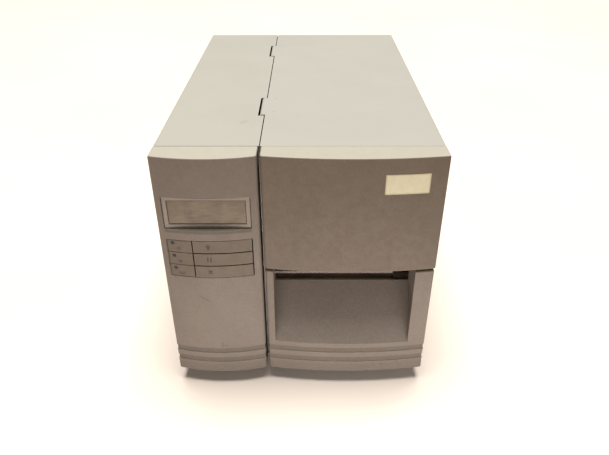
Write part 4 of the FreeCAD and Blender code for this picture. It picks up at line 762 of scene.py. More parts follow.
@dataclass(frozen=True)
class BadgePlate(Finish):
    """Bare plate: plastic-coloured rim between two dark lines round a brushed bronze field."""

    field_colour: Colour = (0.116, 0.085, 0.057)
    line_colour: Colour = (0.05, 0.036, 0.026)
    low: Pair = (0.0, 0.0)
    high: Pair = (0.0, 0.0)
    margin: float = 4.4 * MM
    line: float = 0.75 * MM
    line_out: float = 0.4
    line_soft: float = 0.12 * MM
    brushing: Pattern = Pattern(0.25 * MM, 2.0, stretch=(0.02, 1.0, 1.0))
    brush_light: float = 1.5
    brush_depth: float = 0.02 * MM
    tarnish: Pattern = Pattern(12 * MM, 3.0, 0.35, 0.7, high=0.4)
    clouds: Pattern = Pattern(3 * MM)
    cloud_shades: Pair = (0.92, 1.05)
    dirt_and_shade: Wear = Wear(1.5 * MM, 0.8, 0.25, 0.7)
    metallic: float = 0.35
    roughness: Pair = (0.6, 0.42)

    def paint(self, sheet: NodeSheet) -> None:
        """Feed the shader of the plate, split by where the field lies.

        Args:
            sheet: Node tree of the plate.
        """
        line_starts = self.margin - self.line * self.line_out
        margins = (self.line, line_starts, line_starts + self.line)
        soft = self.line_soft
        plate, around, inner = (sheet.upright(self.low, self.high, edge, soft) for edge in margins)
        brushed = sheet.noise(self.brushing)
        light = [part * self.brush_light for part in self.field_colour]
        metal = sheet.mix(sheet.spread(brushed, self.brushing), self.field_colour, light)
        metal = sheet.mix(sheet.cloud(self.tarnish), metal, self.line_colour)
        rim = self.clouded(sheet, sheet.cloud(self.clouds), self.cloud_shades)
        rim = sheet.mix(plate, self.line_colour, sheet.mix(around, rim, self.line_colour))
        # Ambient occlusion darkens the plate's hollows: painted shade, with dirt.
        colour = sheet.mix(sheet.hollow_shade_and_dirt(self.dirt_and_shade), sheet.mix(inner, rim, metal), self.line_colour)
        sheet.set(Base_Color=colour, Metallic=sheet.times(inner, self.metallic))
        sheet.set(Roughness=sheet.span(inner, 0.0, 1.0, *self.roughness))
        sheet.set(Normal=sheet.bump(brushed, self.brush_depth))


@dataclass(frozen=True)
class Metal(Finish):
    """Bare metal: fine lines along one axis, clouds of tarnish, brighter rubbed edges."""

    grain: Axis = Axis.X
    roughness: float = 0.34
    line: float = 0.18 * MM
    tarnish: Colour = (0.30, 0.29, 0.27)
    tarnish_share: float = 0.3
    line_detail: float = 2.0
    line_stretch: float = 0.02
    line_shades: Pair = (0.9, 1.06)
    line_depth: float = 0.004 * MM
    spangle: float = 6 * MM
    spangle_share: float = 0.1
    spangle_shade: float = 0.8
    clouds: Pattern = Pattern(18 * MM, 4.0, 0.5, 0.75)
    rub: Wear = Wear(0.5 * MM, 0.4)
    rub_shade: float = 1.25
    sheen: float = 9 * MM
    sheen_reach: Pair = (0.02, 0.05)

    def paint(self, sheet: NodeSheet) -> None:
        """Feed the shader of the metal.

        Args:
            sheet: Node tree of the metal.
        """
        brushing = Pattern(self.line, self.line_detail).streaks(self.grain, self.line_stretch)
        lines = sheet.noise(brushing)
        colour = self.clouded(sheet, sheet.spread(lines, brushing), self.line_shades)
        spangle = sheet.span(sheet.cells(self.spangle), 0.0, 1.0, 0.0, self.spangle_share)
        colour = sheet.mix(spangle, colour, self.shaded(self.spangle_shade))
        dull = sheet.cloud(replace(self.clouds, high=self.tarnish_share))
        colour = sheet.mix(dull, colour, self.tarnish)
        colour = sheet.mix(sheet.rubbed(self.rub), colour, self.shaded(self.rub_shade))
        sheen = sheet.cloud(Pattern.about(self.sheen, self.roughness, self.sheen_reach))
        sheet.set(Base_Color=colour, Metallic=1.0, Roughness=sheen)
        sheet.set(Normal=sheet.bump(lines, self.line_depth))


@dataclass(frozen=True)
class SmoothPlastic(Finish):
    """Moulded plastic of the inner pieces, with a faint skin texture and dust on its upper faces."""

    roughness: float = 0.4
    dust: Colour = (0.34, 0.32, 0.29)
    dust_share: float = 0.12
    specular: float = 0.45
    clouds: Pattern = Pattern(14 * MM)
    cloud_shades: Pair = (0.9, 1.08)
    settling: Pattern = Pattern(2.5 * MM, 4.0, 0.35, 0.65)
    rub: Wear = Wear(0.5 * MM, 0.3)
    rub_shade: float = 1.4
    rub_light: float = 0.02
    sheen: float = 5 * MM
    sheen_reach: Pair = (0.07, 0.1)
    grain: Pattern = Pattern(0.4 * MM, 2.0)
    grain_depth: float = 0.02 * MM

    def paint(self, sheet: NodeSheet) -> None:
        """Feed the shader of the plastic.

        Args:
            sheet: Node tree of the plastic.
        """
        colour = self.clouded(sheet, sheet.cloud(self.clouds), self.cloud_shades)
        dusty = sheet.times(sheet.upward(), sheet.cloud(self.settling), self.dust_share)
        colour = sheet.mix(dusty, colour, self.dust)
        bare = [min(1.0, part * self.rub_shade + self.rub_light) for part in self.colour]
        colour = sheet.mix(sheet.rubbed(self.rub), colour, bare)
        sheen = sheet.cloud(Pattern.about(self.sheen, self.roughness, self.sheen_reach))
        sheet.set(Base_Color=colour, Roughness=sheen, Specular_IOR_Level=self.specular)
        sheet.set(Normal=sheet.bump(sheet.noise(self.grain), self.grain_depth))


@dataclass(frozen=True)
class SoftRubber(Finish):
    """Matte rubber with a pale bloom and fine pits."""

    bloom: Colour = (0.13, 0.125, 0.12)
    roughness: float = 0.78
    blooming: Pattern = Pattern(6 * MM, 4.0, 0.45, 0.75, high=0.55)
    pit: float = 0.35 * MM
    pit_reach: Pair = (0.08, 0.08)
    pit_depth: float = 0.03 * MM
    specular: float = 0.25

    def paint(self, sheet: NodeSheet) -> None:
        """Feed the shader of the rubber.

        Args:
            sheet: Node tree of the rubber.
        """
        pitting = Pattern.about(self.pit, self.roughness, self.pit_reach)
        pits = sheet.noise(pitting)
        sheet.set(Base_Color=sheet.mix(sheet.cloud(self.blooming), self.colour, self.bloom))
        sheet.set(Roughness=sheet.spread(pits, pitting), Specular_IOR_Level=self.specular)
        sheet.set(Normal=sheet.bump(pits, self.pit_depth))


@dataclass(frozen=True)
class SmokedLens(Finish):
    """Dark clear plastic of the lamps."""

    haze: Pattern = Pattern(0.8 * MM, 3.0, 0.4, 0.7)
    haze_shade: float = 1.7
    roughness: Pair = (0.16, 0.3)
    specular: float = 0.3

    def paint(self, sheet: NodeSheet) -> None:
        """Feed the shader of the lens.

        Args:
            sheet: Node tree of the lens.
        """
        haze = sheet.cloud(self.haze)
        colour = sheet.mix(haze, self.colour, self.shaded(self.haze_shade))
        sheet.set(Base_Color=colour, Specular_IOR_Level=self.specular)
        sheet.set(Roughness=sheet.span(haze, 0.0, 1.0, *self.roughness))


@dataclass(frozen=True)
class CircuitBoard(Finish):
    """Green board with copper runs; what stands on it is dark plastic."""

    runs: Colour = (0.09, 0.33, 0.17)
    parts: Colour = (0.025, 0.025, 0.027)
    face: Axis = Axis.X
    plane: float = 0.0
    plane_soft: float = 0.1 * MM
    upright_runs: Pattern = Pattern(1.4 * MM, 0.0, 0.58, 0.61)
    level_runs: Pattern = Pattern(1.4 * MM, 0.0, 0.6, 0.63)
    run_stretch: float = 0.03
    run_share: float = 0.6
    run_depth: float = 0.02 * MM
    clouds: Pattern = Pattern(10 * MM)
    cloud_shades: Pair = (0.85, 1.1)
    roughness: Pair = (0.3, 0.5)
    specular: float = 0.5

    def paint(self, sheet: NodeSheet) -> None:
        """Feed the shader of the board, split at the plane of its component side.

        Args:
            sheet: Node tree of the board.
        """
        upright = sheet.cloud(self.upright_runs.streaks(Axis.Z, self.run_stretch))
        across = Axis.Y if self.face is Axis.X else Axis.X
        level = sheet.cloud(self.level_runs.streaks(across, self.run_stretch))
        run = sheet.maths("MAXIMUM", upright, level)
        resist = self.clouded(sheet, sheet.cloud(self.clouds), self.cloud_shades)
        green = sheet.mix(sheet.times(run, self.run_share), resist, self.runs)
        above = sheet.span(sheet.along(self.face), self.plane, self.plane - self.plane_soft)
        sheet.set(Base_Color=sheet.mix(above, green, self.parts), Specular_IOR_Level=self.specular)
        sheet.set(Roughness=sheet.span(above, 0.0, 1.0, *self.roughness))
        sheet.set(Normal=sheet.bump(run, self.run_depth))


@dataclass(frozen=True)
class PrintInk(Finish):
    """Thin printed ink, worn pale in places."""

    worn: Colour = (0.2, 0.18, 0.15)
    wear: Pattern = Pattern(1.1 * MM, 4.0, 0.45, 0.7, high=0.8)
    roughness: Pair = (0.5, 0.65)
    specular: float = 0.3

    def paint(self, sheet: NodeSheet) -> None:
        """Feed the shader of the print.

        Args:
            sheet: Node tree of the print.
        """
        wear = sheet.cloud(self.wear)
        sheet.set(Base_Color=sheet.mix(wear, self.colour, self.worn), Specular_IOR_Level=self.specular)
        sheet.set(Roughness=sheet.span(wear, 0.0, 1.0, *self.roughness))


@dataclass(frozen=True)
class StickerPaper(Finish):
    """Plain coated paper, yellowed towards its rim, with a dark line along its edge that is dirt and
    painted shadow.
    """

    rim: Colour = (0.46, 0.385, 0.225)
    dirt_and_shade: Colour = (0.13, 0.1, 0.06)
    low: Pair = (0.0, 0.0)
    high: Pair = (0.0, 0.0)
    clouds: Pattern = Pattern(6 * MM, 4.0, high=0.25)
    rim_width: float = 2.2 * MM
    rim_share: float = 0.7
    dirt_and_shade_width: float = 0.9 * MM
    dirt_and_shade_share: float = 0.75
    fibres: Pattern = Pattern(0.3 * MM, low=0.35, high=0.5)
    fibre_depth: float = 0.01 * MM
    specular: float = 0.4

    def border(self, sheet: NodeSheet, width: float) -> Socket:
        """Nought in the middle of the paper, rising to one over a width at its edge."""
        return sheet.maths("SUBTRACT", 1.0, sheet.upright(self.low, self.high, width, width))

    def paint(self, sheet: NodeSheet) -> None:
        """Feed the shader of the paper.

        Args:
            sheet: Node tree of the paper.
        """
        tint = sheet.maths("ADD", self.border(sheet, self.rim_width), sheet.cloud(self.clouds))
        colour = sheet.mix(sheet.times(tint, self.rim_share), self.colour, self.rim)
        # Dark line along the paper's edge: dirt, and painted shadow of its thin edge.
        dirty_and_shaded = sheet.times(self.border(sheet, self.dirt_and_shade_width), self.dirt_and_shade_share)
        fibre = sheet.noise(self.fibres)
        sheet.set(Base_Color=sheet.mix(dirty_and_shaded, colour, self.dirt_and_shade), Specular_IOR_Level=self.specular)
        sheet.set(Roughness=sheet.spread(fibre, self.fibres), Normal=sheet.bump(fibre, self.fibre_depth))


@dataclass(frozen=True)
class PaleFloor(Finish):
    """Plain pale floor."""

    clouds: Pattern = Pattern(400 * MM)
    cloud_shades: Pair = (0.97, 1.02)
    roughness: float = 0.85
    specular: float = 0.2

    def paint(self, sheet: NodeSheet) -> None:
        """Feed the shader of the floor."""
        colour = self.clouded(sheet, sheet.cloud(self.clouds), self.cloud_shades)
        sheet.set(Base_Color=colour, Roughness=self.roughness, Specular_IOR_Level=self.specular)


class Paintbox:
    """Makes each finish once, and gives it to the nodes and pieces that take it."""

    def __init__(self, frame: Frame) -> None:
        """Start with no materials made, for the nodes of a loaded frame."""
        self.frame = frame
        self.made: dict[str, bpy.types.Material] = {}

    def of(self, finish: Finish) -> bpy.types.Material:
        """Material of a finish, made on first use.

        Args:
            finish: The finish.

        Returns:
            Its one material.
        """
        if finish.name not in self.made:
            self.made[finish.name] = finish.material()
        return self.made[finish.name]

    def dress(self, finish: Finish, nodes: Iterable[str]) -> None:
        """Give nodes a finish in place of their plain one.

        Args:
            finish: The finish.
            nodes: Names of the nodes.
        """
        for node in nodes:
            slots = self.frame["nodes"][node].data.materials
            slots.clear()
            slots.append(self.of(finish))
            LOG.info("%s: %s", node, finish.name)


def add_piece(name: str, skin: Skin, material: bpy.types.Material, body: str) -> None:
    """Put a surface into the scene as a piece that rides on a body.

    Args:
        name: Name of the piece.
        skin: Its points and faces, in place.
        material: Its finish.
        body: Body that it moves with.
    """
    mesh = bpy.data.meshes.new(name)
    mesh.from_pydata(skin.points.tolist(), [], skin.quads.tolist() + skin.tris.tolist())
    mesh.materials.append(material)
    mesh.shade_smooth()
    mesh.set_sharp_from_angle(angle=SHARP_ANGLE)
    piece = bpy.data.objects.new(name, mesh)
    bpy.context.scene.collection.objects.link(piece)
    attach(piece, body)
    LOG.info("%s: %d faces on %s", name, len(mesh.polygons), body)


# Sub-assemblies

# Front plastic, kept darker and browner than the painted sheet: painted shade for the front faces, which
# the overhead lamp leaves in shade.
FRONT_PLASTIC_SHADED: Colour = (0.199, 0.162, 0.134)
FAR = 1.0
GROOVE_FEET = (29.9 * MM, 42.3 * MM)
GROOVE_HEIGHT = 6.2 * MM
# Darker towards the foot of the front panels.
FOOT_DARKENING = Patch((-FAR, -FAR, 0.0), (FAR, FAR, 24 * MM), 8 * MM, 0.24)
# Darker bands over the two grooves.
GROOVE_DARKENING = tuple(
    Patch((-FAR, -FAR, foot), (FAR, FAR, foot + GROOVE_HEIGHT), 0.5 * MM, 0.38) for foot in GROOVE_FEET
)


class SubAssembly:
    """Nodes that are dressed together, and the small pieces that are added to them."""

    def finishes(self) -> dict[Finish, tuple[str, ...]]:
        """Names of the nodes that take each finish: none, unless a sub-assembly says so."""
        return {}

    def build(self, paints: Paintbox) -> None:
        """Add the small pieces: none, unless a sub-assembly makes some."""


def cross_outline(arm: float, thick: float) -> tuple[Pair, ...]:
    """Outline of a plus sign turned by an eighth, (a - b, a + b) over the root of two.

    Args:
        arm: Length of an arm from the middle.
        thick: Half the thickness of an arm.

    Returns:
        The outline's corners in order.
    """
    half = [(thick, arm), (thick, thick), (arm, thick), (arm, -thick), (thick, -thick), (thick, -arm)]
    plus = half + [(-a, -b) for a, b in half]
    return tuple(((a - b) * math.sqrt(0.5), (a + b) * math.sqrt(0.5)) for a, b in plus)


@dataclass(frozen=True)
class SignShape:
    """Strokes of a sign, in shares of half its height.

    A hoop has a middle and a radius, a frame a width and a height, a bar a middle, a width and a height.
    """

    outlines: tuple[tuple[Pair, ...], ...] = ()
    hoops: tuple[Point, ...] = ()
    frames: tuple[Pair, ...] = ()
    bars: tuple[tuple[float, float, float, float], ...] = ()


SIGN_LINE = 0.32
THIN_LINE = 0.224
LABEL_ROWS = tuple((0.0, level, 0.8, THIN_LINE) for level in (-0.22, 0.22))
ARROW = ((0, 1), (0.95, 0), (0.38, 0), (0.38, -1), (-0.38, -1), (-0.38, 0), (-0.95, 0))


class Sign(Enum):
    """Plain signs printed on the keys and in the lamp cells."""

    FEED = SignShape(outlines=(ARROW,))
    PAUSE = SignShape(bars=((-0.5, 0.0, 0.5, 1.84), (0.5, 0.0, 0.5, 1.84)))
    CANCEL = SignShape(outlines=(cross_outline(0.9, 0.24),))
    POWER = SignShape(hoops=((0.0, -0.1, 0.72),), bars=((0.0, 0.45, SIGN_LINE, 0.5),))
    LABEL = SignShape(frames=((1.9, 1.5),), bars=LABEL_ROWS)
    RIBBON = SignShape(hoops=((-1.0, 0.2, 0.55), (1.0, 0.2, 0.55)), bars=((0.0, -0.62, 2.0, SIGN_LINE),))


@dataclass
class SignPrint:
    """Thin printed signs, as patches laid on a face."""

    wrap: Wrap
    lift: float = 0.05 * MM
    sink: float = 0.05 * MM
    step: float = 0.8 * MM
    rows: int = 2
    turns: int = 40

    def patch(self, place: Pair, outline: np.ndarray) -> Skin:
        """Filled shape given by its outline about a place."""
        return inlay(stepped(outline + place, self.step), self.wrap, self.lift, self.sink, self.rows)

    def bar(self, place: Pair, width: float, height: float) -> Skin:
        """Upright or level bar with its middle at a place."""
        corners = np.array([(-1, -1), (1, -1), (1, 1), (-1, 1)])
        return self.patch(place, corners * (width / 2, height / 2))

    def band(self, place: Pair, outer: np.ndarray, inner: np.ndarray) -> Skin:
        """Line between two outlines about a place."""
        return framed_inlay(outer + place, inner + place, self.wrap, self.lift, self.sink)

    def hoop(self, place: Pair, radius: float, width: float) -> Skin:
        """Ring line with its middle at a place."""
        ring = circle(self.turns)
        return self.band(place, ring * (radius + width / 2), ring * (radius - width / 2))

    def frame(self, place: Pair, width: float, height: float, line: float) -> Skin:
        """Oblong line with round corners, with its middle at a place."""
        inner = round_corners(width - 2 * line, height - 2 * line, line)
        return self.band(place, round_corners(width, height, 2 * line), inner)

    def drawn(self, sign: Sign, place: Pair, size: float) -> Skin:
        """One sign, drawn about a place.

        Args:
            sign: Which sign.
            place: Middle of the sign.
            size: Height of the sign.

        Returns:
            All its strokes as one surface.
        """
        shape, half = sign.value, size / 2
        line = SIGN_LINE * half
        skins = [self.patch(place, np.array(outline) * half) for outline in shape.outlines]
        for x, z, radius in shape.hoops:
            skins.append(self.hoop((place[0] + x * half, place[1] + z * half), radius * half, line))
        for width, height in shape.frames:
            skins.append(self.frame(place, width * half, height * half, line))
        for x, z, width, height in shape.bars:
            skins.append(self.bar((place[0] + x * half, place[1] + z * half), width * half, height * half))
        return Skin.joined(skins)


@dataclass
class CaseDress(SubAssembly):
    """Fixed case: left cover, lower front with the exit's end strip, rear panel, base and feet."""

    left_paint: PaintedSheet = PaintedSheet(
        "left_cover_paint",
        (0.328, 0.318, 0.283),
        marks=(Mark(Axis.Z, (-0.0530, -0.1285, 0.0), (-0.0505, -0.1245, 0.0), 4.5 * MM, 0.1),),
    )
    rear_paint: PaintedSheet = PaintedSheet("rear_paint", (0.32, 0.307, 0.278))
    lower: MouldedPlastic = MouldedPlastic(
        "lower_front_plastic",
        FRONT_PLASTIC_SHADED,
        marks=(
            Mark(Axis.Y, (0.0813, 0.0, 0.0262), (0.0825, 0.0, 0.0249), 1.4 * MM, 0.3),
            Mark(Axis.Y, (0.0970, 0.0, 0.0290), (0.0985, 0.0, 0.0280), 1.1 * MM, 0.35),
        ),
        patches=(
            *GROOVE_DARKENING,
            FOOT_DARKENING,
            # Darker over the label chute.
            Patch((-0.0251, -0.3, 0.0541), (0.1071, 0.0, 0.1110), 0.3 * MM, 0.46),
        ),
    )
    base: Metal = Metal("base_zinc", (0.60, 0.575, 0.53), Axis.Y, 0.38)
    feet: SoftRubber = SoftRubber("foot_rubber", (0.03, 0.029, 0.028))
    screws: Metal = Metal("screw_zinc", (0.62, 0.61, 0.56), Axis.Y, 0.3, 0.1 * MM)
    # Near-black and almost without specular: painted shade, so that the exit's right end looks as dark as
    # the shade in the slot.
    strip: SmoothPlastic = SmoothPlastic(
        "exit_strip_plastic", (0.017, 0.0125, 0.01), 0.7, dust_share=0.0, specular=0.03
    )
    exit_right: float = 107.2 * MM
    strip_foot: float = 8.0 * MM
    strip_thick: float = 1.4 * MM
    strip_bite: float = 0.3 * MM

    def finishes(self) -> dict[Finish, tuple[str, ...]]:
        """Names of the case's nodes that take each finish.

        Returns:
            Names by finish.
        """
        return {
            self.left_paint: ("left_cover",),
            self.rear_paint: ("rear_panel",),
            self.lower: ("lower_front_panel",),
            self.base: ("base_tray", "centre_wall"),
            self.feet: ("rubber_feet",),
            self.screws: ("rear_screws", "hinge_pins", "key_pivot_rod"),
        }

    def build(self, paints: Paintbox) -> None:
        """Close the right end of the label exit with a thin upstand behind the chute's rim.

        Args:
            paints: Where the finishes come from.
        """
        bar_low, bar_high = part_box("tear_bar")
        front = bar_low.y - self.strip_bite
        start = (bar_high.x + self.strip_bite, front, bar_low.z + self.strip_foot)
        end = (self.exit_right, front + self.strip_thick, bar_high.z)
        skin = block_skin(start, end, self.strip_bite)
        add_piece("exit_end_strip", skin, paints.of(self.strip), "chassis")


@dataclass
class ControlPanel(SubAssembly):
    """Left front: bare badge, lamp cells and keys."""

    bow_rise: float = 6.2 * MM
    key_inset: float = 0.2 * MM
    key_sign: float = 5.6 * MM
    key_share: float = 0.3
    lamp_sign: float = 3.4 * MM
    lamp_shift: Pair = (3.4 * MM, -4.3 * MM)
    key_signs: tuple[tuple[str, str, Sign], ...] = (
        ("feed_key", "feed", Sign.FEED),
        ("pause_key", "pause", Sign.PAUSE),
        ("cancel_key", "cancel", Sign.CANCEL),
    )
    lamp_signs: tuple[Sign, ...] = (Sign.RIBBON, Sign.LABEL, Sign.POWER)
    lamp_pitch: float = 13.63 * MM
    cell_line: float = 0.75 * MM
    ink: PrintInk = PrintInk("key_print", (0.05, 0.04, 0.033), (0.1, 0.08, 0.065))
    line_ink: PrintInk = PrintInk("cell_line_print", (0.05, 0.038, 0.03), (0.1, 0.08, 0.065))
    case: MouldedPlastic = MouldedPlastic(
        "left_front_plastic",
        FRONT_PLASTIC_SHADED,
        marks=(
            Mark(Axis.Y, (-0.0942, 0.0, 0.1147), (-0.0859, 0.0, 0.1093), 0.8 * MM, 0.42),
            Mark(Axis.Y, (-0.0776, 0.0, 0.0569), (-0.0776, 0.0, 0.0510), 0.7 * MM, 0.42),
            Mark(Axis.Y, (-0.0768, 0.0, 0.0524), (-0.0730, 0.0, 0.0523), 2.0 * MM, 0.2),
        ),
        patches=(
            *GROOVE_DARKENING,
            FOOT_DARKENING,
            # Painted shadow in a soft band under the badge.
            Patch((-0.1180, -0.3, 0.1850), (-0.0430, 0.0, 0.1871), 1.4 * MM, 0.5),
        ),
    )
    # Key plastic, darkened like the front plastic as painted shade; its upward faces are tinted darker
    # still, painted shade in the gaps between the keys and in the lamp panel's grooves.
    keys: MouldedPlastic = MouldedPlastic(
        "key_plastic",
        (0.154, 0.119, 0.09),
        tint=(0.09, 0.068, 0.05),
        grain=Pattern(0.4 * MM, 2.0, 0.35, 0.65, high=0.2),
    )
    lens: SmokedLens = SmokedLens("lamp_lens", (0.017, 0.019, 0.024))
    badge: BadgePlate = BadgePlate("badge_plate", (0.275, 0.23, 0.19))

    def finishes(self) -> dict[Finish, tuple[str, ...]]:
        """Names of the panel's nodes that take each finish.

        Returns:
            Names by finish, the badge's with the badge's own place in it.
        """
        low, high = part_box("name_badge")
        return {
            self.case: ("left_front_panel",),
            self.keys: ("indicator_panel", *[key for key, _, _ in self.key_signs]),
            self.lens: ("indicator_lenses",),
            replace(self.badge, low=(low.x, low.z), high=(high.x, high.z)): ("name_badge",),
        }

    def build(self, paints: Paintbox) -> None:
        """Print the signs on keys and lamp cells, and the line round the cells.

        Args:
            paints: Where the finishes come from.
        """
        prints = SignPrint(FrontBow.of_node("left_front_panel", self.bow_rise).wrap(self.key_inset))
        ink = paints.of(self.ink)
        for key, body, sign in self.key_signs:
            low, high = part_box(key)
            place = (low.x + (high.x - low.x) * self.key_share, (low.z + high.z) / 2)
            add_piece(f"{key}_sign", prints.drawn(sign, place, self.key_sign), ink, body)
        low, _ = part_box("indicator_lenses")
        x, z = low.x + self.lamp_shift[0] + self.lamp_sign, low.z + self.lamp_shift[1]
        cells = [
            prints.drawn(sign, (x, z + self.lamp_pitch * row), self.lamp_sign)
            for row, sign in enumerate(self.lamp_signs)
        ]
        add_piece("lamp_cell_signs", Skin.joined(cells), ink, "chassis")
        line_ink = paints.of(self.line_ink)
        add_piece("lamp_cell_lines", self.cell_lines(prints), line_ink, "chassis")

    def cell_lines(self, prints: SignPrint) -> Skin:
        """Thin line on the left, foot and top of the lamp cells.

        Args:
            prints: Lays the line on the panel's arc.

        Returns:
            The line's three runs as one surface.
        """
        low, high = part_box("indicator_panel")
        edge = self.cell_line
        x, z = (low.x + high.x) / 2, (low.z + high.z) / 2
        width, height = high.x - low.x - 3 * edge, high.z - low.z - 3 * edge
        levels = [prints.bar((x, level), width, edge) for level in (low.z + edge, high.z - edge)]
        return Skin.joined([prints.bar((low.x + edge, z), edge, height), *levels])


@dataclass
class CoverDress(SubAssembly):
    """Hinged media cover: painted sheet, plastic front and a blank sticker."""

    bow_rise: float = 6.2 * MM
    sticker_low: Pair = (71.5 * MM, 223.2 * MM)
    sticker_high: Pair = (110.2 * MM, 242.4 * MM)
    sticker_thick: float = 0.12 * MM
    sticker_sink: float = 0.03 * MM
    sticker_corner: float = 0.8 * MM
    sticker_step: float = 1.5 * MM
    sticker_rows: int = 12
    dimple_x: float = -25.5 * MM
    dimples_y: tuple[float, ...] = (-100.2 * MM, -62.3 * MM, 98.9 * MM, 136.7 * MM)
    dimple_run: float = 0.4 * MM
    dimple_reach: float = 1.5 * MM
    dimple_strength: float = 0.3
    top: float = 257 * MM
    coat: PaintedSheet = PaintedSheet("cover_paint", (0.328, 0.320, 0.285))
    # The cover's plastic front is darker still than the lower front: painted shade for the upper front
    # faces.
    case: MouldedPlastic = MouldedPlastic("cover_front_plastic", (0.164, 0.126, 0.095))
    paper: StickerPaper = StickerPaper("sticker_paper", (0.71, 0.655, 0.48))

    def finishes(self) -> dict[Finish, tuple[str, ...]]:
        """Names of the cover's nodes that take each finish.

        Returns:
            Names by finish, the coat with a mark at each dimple.
        """
        x, z = self.dimple_x, self.top
        marks = tuple(
            Mark(Axis.Z, (x, y, z), (x, y + self.dimple_run, z), self.dimple_reach, self.dimple_strength)
            for y in self.dimples_y
        )
        return {replace(self.coat, marks=marks): ("media_cover",), self.case: ("cover_front_bezel",)}

    def build(self, paints: Paintbox) -> None:
        """Lay the blank sticker on the plastic front.

        Args:
            paints: Where the finishes come from.
        """
        wrap = FrontBow.of_node("cover_front_bezel", self.bow_rise).wrap(0.0)
        low, high = np.array(self.sticker_low), np.array(self.sticker_high)
        width, height = high - low
        outline = stepped(round_corners(width, height, self.sticker_corner), self.sticker_step)
        place = (low + high) / 2
        skin = inlay(outline + place, wrap, self.sticker_thick, self.sticker_sink, self.sticker_rows)
        paper = replace(self.paper, low=self.sticker_low, high=self.sticker_high)
        add_piece("blank_sticker", skin, paints.of(paper), "cover")


